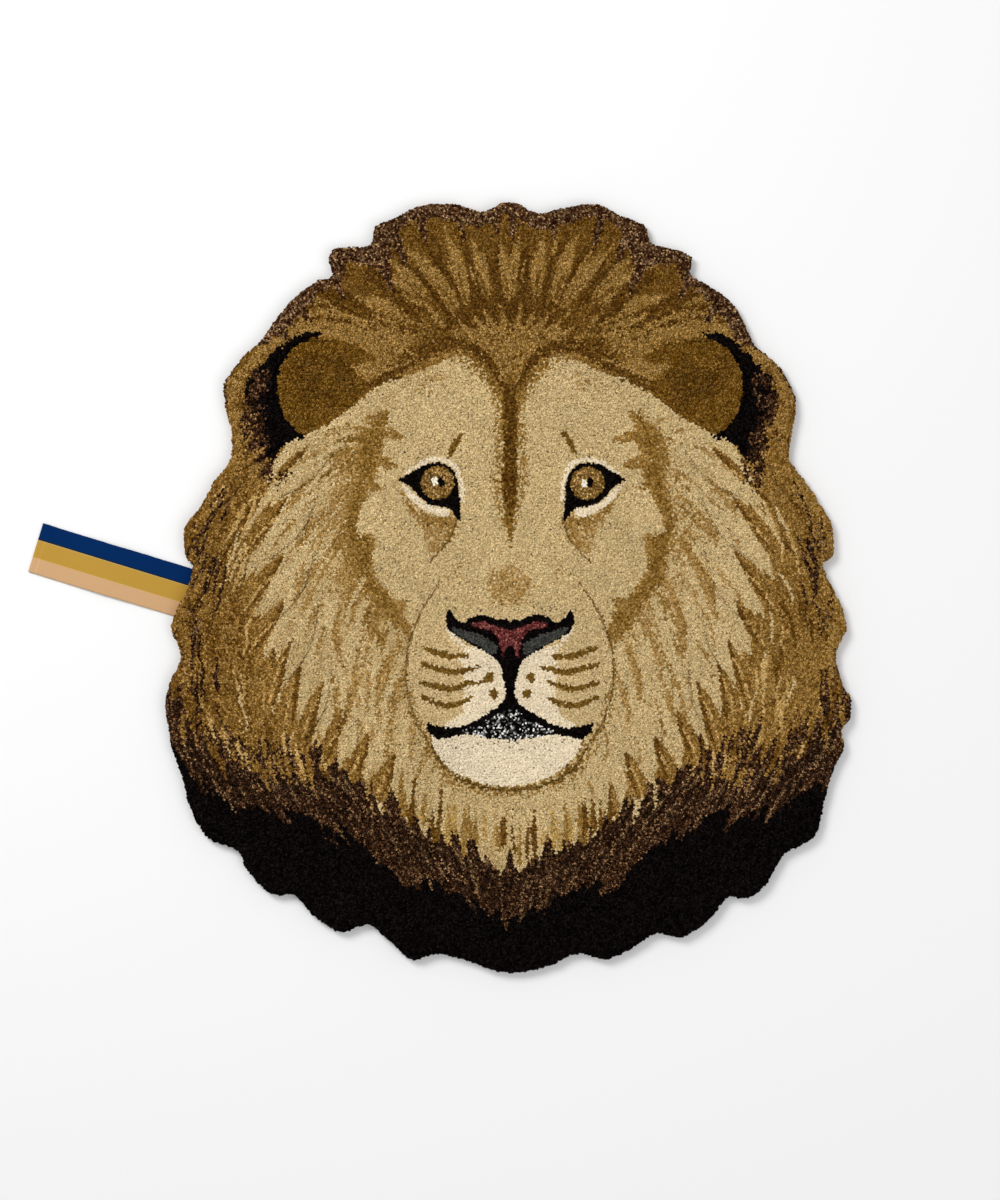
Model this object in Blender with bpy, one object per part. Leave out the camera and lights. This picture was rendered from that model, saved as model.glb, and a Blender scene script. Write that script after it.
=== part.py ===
"""A lion's head as a tufted floor rug, with a striped ribbon sewn under its left edge.

Metres, +Z up. The rug lies on z = 0 with the crown of the mane towards +Y. The middle of
its outline is at x = y = 0, and the face is drawn about the line x = 0.
"""

import math
import random

import bmesh
import bpy
from mathutils import Vector

# The mane's outline: how far it reaches from the middle at its notches, its crests and
# the turns between them, by degrees from the crown.
OUTLINE = (  # degrees, right side, left side; metres
    (0.0, 0.3870, 0.3870),
    (4.4, 0.3765, 0.3785),
    (8.0, 0.3850, 0.3885),
    (12.8, 0.3940, 0.3935),
    (17.0, 0.3895, 0.3885),
    (20.6, 0.3885, 0.3865),
    (22.4, 0.3725, 0.3705),
    (25.0, 0.3755, 0.3765),
    (27.6, 0.3790, 0.3830),
    (28.8, 0.3775, 0.3760),
    (29.8, 0.3610, 0.3585),
    (32.0, 0.3625, 0.3635),
    (36.0, 0.3630, 0.3630),
    (40.0, 0.3585, 0.3590),
    (45.5, 0.3455, 0.3520),
    (50.0, 0.3490, 0.3540),
    (54.0, 0.3470, 0.3525),
    (58.0, 0.3390, 0.3370),
    (61.0, 0.3225, 0.3190),
    (66.0, 0.3080, 0.3085),
    (70.0, 0.3145, 0.3150),
    (75.0, 0.3220, 0.3205),
    (79.5, 0.3290, 0.3315),
    (84.0, 0.3260, 0.3280),
    (86.0, 0.3140, 0.3180),
    (89.0, 0.3195, 0.3210),
    (93.0, 0.3330, 0.3330),
    (97.0, 0.3395, 0.3420),
    (101.0, 0.3330, 0.3360),
    (105.5, 0.3455, 0.3530),
    (108.0, 0.3600, 0.3630),
    (111.5, 0.3650, 0.3690),
    (113.3, 0.3615, 0.3710),
    (115.6, 0.3710, 0.3755),
    (119.0, 0.3720, 0.3775),
    (125.0, 0.3830, 0.3895),
    (129.6, 0.3940, 0.3930),
    (134.0, 0.3830, 0.3795),
    (136.5, 0.3860, 0.3860),
    (140.5, 0.3940, 0.3895),
    (142.8, 0.3900, 0.3860),
    (144.8, 0.3785, 0.3760),
    (149.0, 0.3875, 0.3830),
    (153.5, 0.3910, 0.3855),
    (157.3, 0.3750, 0.3660),
    (160.5, 0.3800, 0.3715),
    (165.5, 0.3850, 0.3855),
    (169.4, 0.3725, 0.3725),
    (174.0, 0.3810, 0.3770),
    (180.0, 0.3860, 0.3860),
)
WANDER = 0.3  # degrees that each side's points stray
POINT_EVERY = 0.0054  # along the outline
FINE_STEPS = 10  # in a degree, where the outline is walked
ROUGH = 0.0006  # how far the cut edge of the pile strays
SEED = 11

# The rim: the pile leans out past the backing and rounds over at the top.
RIM = (  # height above the floor, how far in from the outline
    (0.0000, 0.0050),
    (0.0030, 0.0014),
    (0.0068, 0.0000),
    (0.0108, 0.0014),
    (0.0136, 0.0048),
    (0.0150, 0.0105),
)
TOP = RIM[-1][0]

# Grooves clipped into the pile, right side, mirrored to the left.
GROOVE_RADIUS = 0.0030
GROOVE_RISE = 0.0006  # the shears' middle above the pile
GROOVE_SIDES = 1  # bevel resolution
GROOVE_STEP = 0.010
GROOVE_END = 0.35  # its radius at both ends, share of the full one
GROOVE_TAPER = 0.6  # under 1, it widens soon after its ends
GROOVES = {  # x and y of the points that each smooth line goes through
    "tear": ((0.052, 0.070), (0.066, 0.040), (0.084, 0.006), (0.096, -0.036)),
    "muzzle": ((0.101, -0.052), (0.104, -0.092), (0.094, -0.132), (0.080, -0.156)),
    "chin": ((0.078, -0.160), (0.060, -0.184), (0.032, -0.198), (0.010, -0.201)),
    "ear": ((0.176, 0.246), (0.212, 0.244), (0.235, 0.214), (0.232, 0.180), (0.208, 0.148)),
}
# The long locks of the cheek: each is clipped round its lower side, from its tip.
CHEEK_LOCKS = (  # tip x and y, length, degrees that it points below +X
    (0.230, 0.090, 0.070, 40),
    (0.240, 0.028, 0.078, 52),
    (0.236, -0.036, 0.082, 60),
    (0.224, -0.096, 0.078, 66),
    (0.204, -0.152, 0.074, 70),
    (0.168, -0.196, 0.066, 76),
)
CHEEK_LOCK_BEND = 0.10  # of its length, how far the line bows out
# Grooves that part the mane, each running in from the rug's sides.
MANE_GROOVES = (66, 76, 86, 94, 102, 113, 122)  # degrees from the crown
MANE_GROOVE_IN = 0.016  # where it starts, inside the outline
MANE_GROOVE_LENGTH = 0.056
MANE_GROOVE_LEAN = 52  # degrees that it leans back towards the crown

# The ribbon: woven, its free end turned under and its root sewn under the pile.
RIBBON_WIDTH = 0.051
RIBBON_THICK = 0.0010
RIBBON_OUT = 0.160  # what shows
RIBBON_ROOT = 0.026  # what lies under the rug
RIBBON_HEM = 0.009
RIBBON_STEPS = 22
RIBBON_WAVE = 0.0020  # how high it lifts off the floor between the rug and its hem
RIBBON_HEM_RISE = 0.75  # share of its way out at which it starts to rise over the hem
RIBBON_EDGE = (-0.3235, -0.0060)  # where its middle passes the outline
RIBBON_DIRECTION = 163  # degrees from +X, outwards
# The space under the pile for its root.
SEAT_CLEAR = 0.0003  # above it
SEAT_SIDE = 0.0006
SEAT_PAST_RIM = 0.012  # so that the cut runs out through the rim

PILE_COLOUR = (0.30, 0.19, 0.08, 1)
RIBBON_COLOUR = (0.02, 0.07, 0.20, 1)


def clear_scene():
    for obj in list(bpy.data.objects):
        bpy.data.objects.remove(obj)


def new_collection(name):
    made = bpy.data.collections.new(name)
    bpy.context.scene.collection.children.link(made)
    return made


def cloth_material(name, colour, roughness):
    made = bpy.data.materials.new(name)
    made.use_nodes = True
    shader = made.node_tree.nodes["Principled BSDF"]
    shader.inputs["Base Color"].default_value = colour
    shader.inputs["Roughness"].default_value = roughness
    shader.inputs["Metallic"].default_value = 0.0
    return made


def through(points, share):
    """A point on the smooth (Catmull-Rom) line through the points, share from 0 to 1."""
    spans = len(points) - 1
    i = min(int(share * spans), spans - 1)
    t = share * spans - i
    a, b, c, d = (Vector(points[min(max(k, 0), spans)]) for k in range(i - 1, i + 3))
    return 0.5 * (2 * b + (c - a) * t + (2 * a - 5 * b + 4 * c - d) * t**2 + (3 * b - a - 3 * c + d) * t**3)


def outline_side(column):
    """(degrees, reach) down one side of the outline, each point but the two ends astray."""
    stray = random.Random(SEED + column)
    rows = [(row[0] + stray.uniform(-WANDER, WANDER), row[column]) for row in OUTLINE[1:-1]]
    return [(OUTLINE[0][0], OUTLINE[0][column]), *rows, (OUTLINE[-1][0], OUTLINE[-1][column])]


RIGHT_SIDE = outline_side(1)
LEFT_SIDE = outline_side(2)


def slope_at(rows, i):
    """The outline's slope at one of its rows: level on crests, in notches and at both ends."""
    if i == 0 or i == len(rows) - 1:
        return 0.0
    before, after = (
        (rows[k + 1][1] - rows[k][1]) / (rows[k + 1][0] - rows[k][0]) for k in (i - 1, i)
    )
    if before * after <= 0:
        return 0.0
    return 2 * before * after / (before + after)


def reach_at(degrees):
    """The mane's reach from the middle at this many degrees from the crown, clockwise."""
    off = (degrees + 180) % 360 - 180
    rows = RIGHT_SIDE if off >= 0 else LEFT_SIDE
    off = abs(off)
    i = next(k for k in range(len(rows) - 1) if off <= rows[k + 1][0])
    (low, low_reach), (high, high_reach) = rows[i], rows[i + 1]
    width = high - low
    t = (off - low) / width
    return (
        (2 * t**3 - 3 * t**2 + 1) * low_reach
        + (t**3 - 2 * t**2 + t) * width * slope_at(rows, i)
        + (3 * t**2 - 2 * t**3) * high_reach
        + (t**3 - t**2) * width * slope_at(rows, i + 1)
    )


def outline():
    """(degrees from the crown, reach) of the outline's points, evenly along it, clockwise."""
    stray = random.Random(SEED)
    points = []
    last = None
    for k in range(360 * FINE_STEPS):
        degrees = k / FINE_STEPS
        reach = reach_at(degrees)
        turn = math.radians(degrees)
        here = Vector((math.sin(turn), math.cos(turn))) * reach
        if last is None or (here - last).length >= POINT_EVERY:
            points.append((degrees, reach + stray.uniform(-ROUGH, ROUGH)))
            last = here
    return points


def add_mesh(name, mesh_maker, collection, material=None):
    """A new object whose mesh mesh_maker fills in a bmesh."""
    bm = bmesh.new()
    mesh_maker(bm)
    mesh = bpy.data.meshes.new(name)
    bm.to_mesh(mesh)
    bm.free()
    obj = bpy.data.objects.new(name, mesh)
    collection.objects.link(obj)
    if material:
        mesh.materials.append(material)
    return obj


def fill_rug(bm):
    """Rings of the outline, drawn in as the rim says, bridged and capped flat."""
    points = outline()
    rings = []
    for height, inset in RIM:
        ring = bmesh.ops.create_circle(bm, segments=len(points), radius=1)["verts"]
        for vert, (degrees, reach) in zip(ring, points):
            turn = math.radians(degrees)
            vert.co = (math.sin(turn) * (reach - inset), math.cos(turn) * (reach - inset), height)
        rings.append(ring)
    loops = [list({edge for vert in ring for edge in vert.link_edges}) for ring in rings]
    for lower, upper in zip(loops, loops[1:]):
        bmesh.ops.bridge_loops(bm, edges=lower + upper)
    for ring in (rings[0], rings[-1]):
        bmesh.ops.contextual_create(bm, geom=ring)
    bmesh.ops.recalc_face_normals(bm, faces=bm.faces)


def mesh_of_curve(curve_obj, collection):
    """The curve object's shape as a closed mesh object, in place of it."""
    graph = bpy.context.evaluated_depsgraph_get()
    mesh = bpy.data.meshes.new_from_object(curve_obj.evaluated_get(graph))
    bm = bmesh.new()
    bm.from_mesh(mesh)
    bmesh.ops.remove_doubles(bm, verts=bm.verts, dist=1e-6)
    bmesh.ops.recalc_face_normals(bm, faces=bm.faces)
    bm.to_mesh(mesh)
    bm.free()
    name, place = curve_obj.name, curve_obj.matrix_world.copy()
    bpy.data.objects.remove(curve_obj)
    obj = bpy.data.objects.new(name, mesh)
    obj.matrix_world = place
    collection.objects.link(obj)
    return obj


def groove_cutter(name, points, collection):
    """A tube along the smooth line through the points, thin at both ends."""
    points = [Vector(p) for p in points]
    length = sum((b - a).length for a, b in zip(points, points[1:]))
    steps = max(4, round(length / GROOVE_STEP))
    curve = bpy.data.curves.new(name, "CURVE")
    curve.dimensions = "3D"
    curve.bevel_depth = GROOVE_RADIUS
    curve.bevel_resolution = GROOVE_SIDES
    curve.use_fill_caps = True
    spline = curve.splines.new("POLY")
    spline.points.add(steps)
    for k, point in enumerate(spline.points):
        share = k / steps
        x, y = through(points, share)
        point.co = (x, y, TOP + GROOVE_RISE, 1)
        widening = max(0.0, math.sin(math.pi * share)) ** GROOVE_TAPER
        point.radius = GROOVE_END + (1 - GROOVE_END) * widening
    obj = bpy.data.objects.new(name, curve)
    collection.objects.link(obj)
    mesh_of_curve(obj, collection)


def cheek_groove(x, y, length, degrees):
    """From a lock's tip back along its lower side."""
    turn = math.radians(degrees)
    back = Vector((-math.cos(turn), math.sin(turn))) * length
    below = Vector((-math.sin(turn), -math.cos(turn))) * length * CHEEK_LOCK_BEND
    tip = Vector((x, y))
    return [tuple(p) for p in (tip, tip + back / 2 + below, tip + back)]


def mane_groove(degrees):
    """From just inside the right side's edge, in and back towards the crown."""
    out = Vector((math.sin(math.radians(degrees)), math.cos(math.radians(degrees))))
    back = Vector((-out.y, out.x))
    lean = math.radians(MANE_GROOVE_LEAN)
    inward = -out * math.cos(lean) + back * math.sin(lean)
    first = out * (reach_at(degrees) - MANE_GROOVE_IN)
    middle = first + inward * MANE_GROOVE_LENGTH / 2
    last = middle + (inward + back) * MANE_GROOVE_LENGTH / 4
    return [tuple(p) for p in (first, middle, last)]


def add_grooves(collection):
    lines = dict(GROOVES)
    for k, lock in enumerate(CHEEK_LOCKS):
        lines[f"cheek_{k}"] = cheek_groove(*lock)
    for degrees in MANE_GROOVES:
        lines[f"mane_{degrees}"] = mane_groove(degrees)
    for name, points in lines.items():
        for side, sign in (("right", 1), ("left", -1)):
            groove_cutter(f"groove_{name}_{side}", [(sign * x, y) for x, y in points], collection)


def fill_box(size):
    def fill(bm):
        bmesh.ops.create_cube(bm, size=1)
        bmesh.ops.scale(bm, vec=size, verts=bm.verts)

    return fill


def place_on_ribbon(obj, x):
    """Turns an object to the ribbon's direction, x along it from the rug's outline."""
    turn = math.radians(RIBBON_DIRECTION)
    obj.location = (RIBBON_EDGE[0] + x * math.cos(turn), RIBBON_EDGE[1] + x * math.sin(turn), 0)
    obj.rotation_euler.z = turn


def add_ribbon_seat(collection):
    """The space under the pile in which the ribbon's root is sewn."""
    length = RIBBON_ROOT + SEAT_SIDE + SEAT_PAST_RIM
    height = 2 * (RIBBON_THICK + SEAT_CLEAR)
    seat = add_mesh("ribbon_seat", fill_box((length, RIBBON_WIDTH + 2 * SEAT_SIDE, height)), collection)
    place_on_ribbon(seat, SEAT_PAST_RIM - length / 2)


def cut(obj, cutters):
    for cutter in cutters.objects:
        cutter.hide_render = True
        cutter.display_type = "WIRE"
    modifier = obj.modifiers.new("clipped", "BOOLEAN")
    modifier.operation = "DIFFERENCE"
    modifier.operand_type = "COLLECTION"
    modifier.collection = cutters


def ribbon_lift(x):
    """How high the ribbon's underside lies off the floor, x out from the rug's outline."""
    hem_start = RIBBON_OUT - RIBBON_HEM
    if x <= 0:
        return 0.0
    if x >= hem_start:
        return RIBBON_THICK
    share = x / hem_start
    over_hem = max(0.0, (share - RIBBON_HEM_RISE) / (1 - RIBBON_HEM_RISE))
    return RIBBON_WAVE * math.sin(math.pi * share) ** 2 + RIBBON_THICK * over_hem**2


def add_ribbon(collection, material):
    """The ribbon's side view, extruded over its width. Its hem lies under its free end."""
    hem_start = RIBBON_OUT - RIBBON_HEM
    stations = [-RIBBON_ROOT + (hem_start + RIBBON_ROOT) * k / RIBBON_STEPS for k in range(RIBBON_STEPS + 1)]
    under = [(x, ribbon_lift(x)) for x in stations]
    over = [(x, z + RIBBON_THICK) for x, z in under]
    end = [(hem_start, 0.0), (RIBBON_OUT, 0.0), (RIBBON_OUT, 2 * RIBBON_THICK)]
    side_view = under + end + over[::-1]
    curve = bpy.data.curves.new("ribbon", "CURVE")
    curve.dimensions = "2D"
    curve.fill_mode = "BOTH"
    curve.extrude = RIBBON_WIDTH / 2
    spline = curve.splines.new("POLY")
    spline.points.add(len(side_view) - 1)
    spline.use_cyclic_u = True
    for point, (x, z) in zip(spline.points, side_view):
        point.co = (x, z, 0, 1)
    standing = bpy.data.objects.new("ribbon", curve)
    collection.objects.link(standing)
    place_on_ribbon(standing, 0)
    standing.rotation_euler.x = math.radians(90)
    bpy.context.view_layer.update()
    mesh_of_curve(standing, collection).data.materials.append(material)


def main():
    clear_scene()
    parts = new_collection("lion_rug")
    cutters = new_collection("cutters")
    pile = cloth_material("pile", PILE_COLOUR, 0.95)
    woven = cloth_material("ribbon_weave", RIBBON_COLOUR, 0.6)
    rug = add_mesh("rug", fill_rug, parts, pile)
    add_grooves(cutters)
    add_ribbon_seat(cutters)
    cut(rug, cutters)
    add_ribbon(parts, woven)


main()
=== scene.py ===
"""The looks of a lion's head as a tufted rug: its cut pile, its backing and its ribbon.

Places in the drawing are in millimetres from the middle of the rug's outline: u to the
right, v up towards the crown. What both sides share is given for the right side.
"""

import math

import bpy
import numpy as np
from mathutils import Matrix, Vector, kdtree


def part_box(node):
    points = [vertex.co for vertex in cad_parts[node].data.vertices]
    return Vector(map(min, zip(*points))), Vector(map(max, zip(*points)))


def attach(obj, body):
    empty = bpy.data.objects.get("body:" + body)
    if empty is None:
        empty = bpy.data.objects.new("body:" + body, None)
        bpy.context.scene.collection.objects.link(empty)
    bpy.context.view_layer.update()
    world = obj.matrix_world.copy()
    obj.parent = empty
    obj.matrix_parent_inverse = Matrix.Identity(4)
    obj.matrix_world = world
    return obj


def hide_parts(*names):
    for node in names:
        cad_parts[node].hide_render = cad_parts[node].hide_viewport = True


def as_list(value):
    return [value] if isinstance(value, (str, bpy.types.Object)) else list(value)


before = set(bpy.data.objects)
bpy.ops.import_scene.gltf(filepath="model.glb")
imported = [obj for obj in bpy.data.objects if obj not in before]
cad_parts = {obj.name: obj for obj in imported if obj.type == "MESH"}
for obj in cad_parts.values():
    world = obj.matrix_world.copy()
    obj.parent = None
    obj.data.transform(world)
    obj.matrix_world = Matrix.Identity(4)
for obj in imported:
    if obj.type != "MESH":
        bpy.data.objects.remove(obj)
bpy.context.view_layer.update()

MM = 0.001
SEED = 5

# ---- yarns

YARNS = {  # each yarn's dark and light ends, sRGB, and how strongly its fibres are flecked
    "rim": ((38, 18, 7), (142, 114, 80), 1.05),
    "crown": ((76, 48, 8), (117, 87, 41), 0.6),
    "crown_dark": ((60, 35, 5), (99, 70, 28), 0.55),
    "crown_light": ((108, 78, 30), (153, 122, 72), 0.6),
    "ear": ((73, 46, 4), (118, 87, 38), 0.6),
    "ear_dark": ((60, 37, 4), (99, 71, 30), 0.6),
    "black": ((3, 1, 1), (18, 14, 13), 1.0),
    "heather_dark": ((14, 7, 3), (60, 39, 25), 1.0),
    "heather_light": ((44, 29, 18), (128, 99, 66), 1.2),
    "heather": ((29, 14, 6), (106, 78, 52), 1.3),
    "mane": ((96, 66, 20), (156, 123, 70), 0.5),
    "mane_dark": ((70, 43, 7), (120, 88, 40), 0.4),
    "mane_light": ((146, 114, 60), (196, 164, 108), 0.2),
    "cheek": ((154, 129, 84), (188, 165, 120), 0.28),
    "cheek_dark": ((130, 99, 50), (172, 140, 88), 0.25),
    "shade": ((112, 82, 32), (158, 126, 72), 0.3),
    "face": ((164, 141, 97), (196, 174, 130), 0.28),
    "bottom_gold": ((136, 106, 50), (190, 158, 98), 0.25),
    "wedge": ((90, 62, 18), (138, 106, 50), 0.3),
    "muzzle": ((168, 145, 101), (200, 177, 135), 0.2),
    "cream": ((198, 183, 156), (222, 207, 180), 0.1),
    "mark": ((80, 56, 16), (126, 96, 42), 0.3),
    "nose_red": ((68, 25, 26), (148, 88, 80), 0.6),
    "nostril": ((42, 42, 40), (72, 72, 67), 0.3),
    "iris": ((80, 54, 20), (176, 144, 88), 0.8),
    "glint": ((216, 204, 180), (246, 240, 226), 0.1),
    "lip": ((3, 3, 3), (226, 223, 218), 0.3),
}
NAMES = list(YARNS)
SPECKLED = {  # how its tufts fall between the two ends: mostly dark, with light ones among them
    "rim": (0.6, 1.2),
    "heather": (0.6, 1.2),
    "nose_red": (0.5, 1.1),
    "lip": (0.18, 0.42),
}

# ---- the pile's direction

FLOW = (  # degrees from the crown; which way the coat is combed on the head, in the mane
    (0, 0, 0),
    (25, 34, 34),
    (40, 78, 84),
    (50, 122, 112),
    (60, 134, 134),
    (75, 146, 152),
    (90, 162, 168),
    (105, 169, 180),
    (120, 173, 194),
    (140, 177, 203),
    (160, 179, 194),
    (180, 180, 180),
)
MANE_FROM, MANE_WHOLLY = 225, 265  # from the middle, where the head's way turns into the mane's


def column(rows, k):
    return [row[k] for row in rows]


def combed(u, v):
    """Degrees from up, away from the middle, that the coat is combed at u, v."""
    degrees = np.degrees(np.arctan2(np.abs(u), v))
    head = np.interp(degrees, column(FLOW, 0), column(FLOW, 1))
    mane = np.interp(degrees, column(FLOW, 0), column(FLOW, 2))
    share = np.clip((np.hypot(u, v) - MANE_FROM) / (MANE_WHOLLY - MANE_FROM), 0, 1)
    return head + (mane - head) * share


def direction(degrees, side=1):
    """A step of 1 mm at this many degrees from the crown, on the right (1) or left (-1)."""
    turn = math.radians(degrees)
    return np.array([side * math.sin(turn), math.cos(turn)])


def to_right(steps):
    """The way square to each step, to its right, 1 mm long."""
    return np.stack([steps[:, 1], -steps[:, 0]], 1) / np.hypot(*steps.T)[:, None]


def smooth_line(points, per=8, closed=False):
    """The Catmull-Rom line through the points."""
    p = np.asarray(points, float)
    n = len(p)
    out = []
    for i in range(n if closed else n - 1):
        near_by = range(i - 1, i + 3)
        a, b, c, d = (p[k % n] if closed else p[min(max(k, 0), n - 1)] for k in near_by)
        t = np.linspace(0, 1, per, endpoint=False)[:, None]
        cubic = (2 * a - 5 * b + 4 * c - d) * t**2 + (3 * b - a - 3 * c + d) * t**3
        out.append(0.5 * (2 * b + (c - a) * t + cubic))
    if not closed:
        out.append(p[-1:])
    return np.concatenate(out)


def within(q, low, high):
    """The indices of the places inside a box."""
    x, y = q[:, 0], q[:, 1]
    return np.where((x > low[0]) & (x < high[0]) & (y > low[1]) & (y < high[1]))[0]


def inside(q, polygon):
    """Which places lie inside the polygon."""
    found = np.zeros(len(q), bool)
    few = within(q, polygon.min(0), polygon.max(0))
    x, y = q[few, 0], q[few, 1]
    hit = np.zeros(len(few), bool)
    for (ax, ay), (bx, by) in zip(polygon, np.roll(polygon, -1, 0)):
        if ay != by:
            hit ^= ((ay > y) != (by > y)) & (x < (bx - ax) * (y - ay) / (by - ay) + ax)
    found[few] = hit
    return found


def to_line(q, a, b):
    """How far along from a to b each place lies, and its way to there."""
    d = b - a
    t = np.clip(((q - a) @ d) / max(d @ d, 1e-9), 0, 1)
    return t, a + t[:, None] * d - q


def near(q, line, half):
    """Which places lie nearer to the line than its half width there."""
    found = np.zeros(len(q), bool)
    few = within(q, line.min(0) - half.max(), line.max(0) + half.max())
    hit = np.zeros(len(few), bool)
    for a, b, half_a, half_b in zip(line, line[1:], half, half[1:]):
        t, off = to_line(q[few], a, b)
        hit |= np.hypot(*off.T) < half_a + (half_b - half_a) * t
    found[few] = hit
    return found


class Drawing:
    """Which yarn each tuft is made of. Later strokes cover earlier ones."""

    def __init__(self, places):
        self.p = np.asarray(places, float)
        count = len(self.p)
        self.rng = np.random.default_rng(SEED + 1)
        self.stray = self.rng.normal(size=(count, 2))
        self.run = self.rng.normal(size=count)
        way = np.radians(combed(self.p[:, 0], self.p[:, 1]))
        self.flow = np.stack([np.sin(way) * np.sign(self.p[:, 0]), np.cos(way)], 1)
        self.yarn = np.full(count, NAMES.index("mane"))

    def made_of(self, yarn):
        return self.yarn == NAMES.index(yarn)

    def at(self, fuzz=0.0, streak=0.0, mirror=False):
        """The tufts' places, astray by fuzz, and by streak along the way they are combed."""
        q = self.p + self.stray * fuzz + self.flow * (self.run * streak)[:, None]
        if mirror:
            q[:, 0] = np.abs(q[:, 0])
        return q

    def paint(self, yarn, mask, share=1.0):
        if share < 1:
            mask = mask & (self.rng.random(len(mask)) < share)
        self.yarn[mask] = NAMES.index(yarn)

    def area(self, yarn, outline, fuzz=0.5, streak=0.0, share=1.0, smooth=True, mirror=True):
        polygon = smooth_line(outline, 6, True) if smooth else np.asarray(outline, float)
        self.paint(yarn, inside(self.at(fuzz, streak, mirror), polygon), share)

    def band(self, yarn, line, widths, fuzz=0.4, streak=0.0, share=1.0, mirror=True):
        points = smooth_line(line, 8)
        ends = np.linspace(0, 1, len(widths))
        width = np.interp(np.linspace(0, 1, len(points)), ends, widths)
        self.paint(yarn, near(self.at(fuzz, streak, mirror), points, width / 2), share)

    def ellipse(self, yarn, centre, radii, fuzz=0.4, share=1.0, tilt=0, mirror=True):
        q = self.at(fuzz, 0, mirror) - np.asarray(centre, float)
        c, s = math.cos(math.radians(tilt)), math.sin(math.radians(tilt))
        along, across = q[:, 0] * c + q[:, 1] * s, q[:, 1] * c - q[:, 0] * s
        self.paint(yarn, (along / radii[0]) ** 2 + (across / radii[1]) ** 2 < 1, share)

    def leaf(self, yarn, root, tip, width, bend=0.0, fuzz=0.6, streak=0.0, fat=0.45, share=1.0):
        """A lock that widens to fat of its length and then tapers to its tip."""
        root, tip = np.asarray(root, float), np.asarray(tip, float)
        length = math.hypot(*(tip - root))
        d = (tip - root) / length
        pad = width + abs(bend) * length + 3 * (fuzz + streak)
        few = within(self.p, np.minimum(root, tip) - pad, np.maximum(root, tip) + pad)
        q = self.p[few] + self.stray[few] * fuzz
        q += self.flow[few] * (self.run[few] * streak)[:, None]
        t = ((q - root) @ d) / length
        ok = (t > 0) & (t < 1)
        t = np.clip(t, 0, 1)
        off = (q - root) @ np.array([-d[1], d[0]]) - bend * length * 4 * t * (1 - t)
        widening = np.sin(math.pi / 2 * np.minimum(t / fat, 1)) ** 0.6
        tapering = np.cos(math.pi / 2 * np.clip((t - fat) / (1 - fat), 0, 0.9999)) ** 0.9
        hit = ok & (np.abs(off) < width / 2 * np.where(t < fat, widening, tapering))
        if share < 1:
            hit &= self.rng.random(len(few)) < share
        self.yarn[few[hit]] = NAMES.index(yarn)


def both_sides(rows, rng, wander):
    """Each row for the right side and then for the left, where it wanders more."""
    for side, share in ((1, 0.4), (-1, 1.0)):
        for row in rows:
            yield side, row, rng.normal(size=4) * wander * share


def stroke(d, yarn, row, side, stray, **how):
    """A leaf from a row of (root u, root v, tip u, tip v, width, bend)."""
    root_u, root_v, tip_u, tip_v, width, bend = row
    root = (side * (root_u + stray[0]), root_v + stray[1])
    tip = (side * (tip_u + stray[2]), tip_v + stray[3])
    d.leaf(yarn, root, tip, width, side * bend, **how)


def strokes(d, rng, yarn, rows, wander, **how):
    for side, row, stray in both_sides(rows, rng, wander):
        stroke(d, yarn, row, side, stray, **how)


def by_turns(count):
    """Counts up, with the left side (-1) and the right side (1) by turns."""
    for k in range(count):
        yield k, 1 if k % 2 else -1


def between(x, table):
    """What the table's second row says at x in its first."""
    return float(np.interp(x, *table))


def lock(d, yarn, side, place, degrees, length, width, bend, *how):
    """A leaf that is combed this many degrees from the crown."""
    root = np.array([side * place[0], place[1]])
    d.leaf(yarn, root, root + direction(degrees, side) * length, width, bend * side, *how)


# ---- crown and rim

CROWN = (
    (0, 400), (150, 400), (300, 330), (300, 240), (262, 200), (240, 262),
    (180, 270), (110, 230), (60, 250), (20, 240), (0, 215),
)
CROWN_LOCKS = (  # root u, v, tip u, v, width, bend
    (2, 290, 9, 350, 12, 0.04),
    (27, 290, 35, 353, 14, 0.03),
    (46, 284, 68, 354, 14, 0.04),
    (52, 276, 104, 343, 15, 0.05),
    (82, 292, 130, 338, 9, 0.03),
    (82, 282, 153, 325, 14, 0.05),
    (78, 260, 163, 294, 15, 0.05),
    (98, 250, 204, 276, 13, 0.08),
)
CROWN_GAPS = (
    (12, 276, 20, 348, 8, 0.02),
    (36, 274, 50, 350, 9, 0.03),
    (46, 272, 84, 350, 9, 0.03),
    (60, 272, 124, 342, 9, 0.02),
    (78, 272, 152, 312, 9, 0.02),
    (84, 258, 176, 290, 8, -0.02),
)
CROWN_FOOT = ((-70, 262), (-44, 292), (0, 292), (44, 292), (70, 262), (30, 256), (-30, 256))
FAN = (
    (4, 254, 12, 284, 6, 0.00),
    (12, 256, 25, 280, 6, -0.03),
    (20, 254, 39, 275, 6, -0.04),
    (28, 252, 52, 269, 6, -0.06),
    (38, 250, 66, 262, 6, -0.06),
)
CROWN_MIDDLE = (
    (-56, 257), (-28, 262), (0, 264), (28, 262), (56, 257), (36, 240), (20, 222), (8, 200),
    (0, 192), (-8, 200), (-20, 222), (-36, 240),
)
FINE_LOCKS = 96
FINE_LOCKS_FROM = (0, 190)  # they fan out from here
FINE_LOCKS_TO = 66  # degrees to either side


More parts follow.
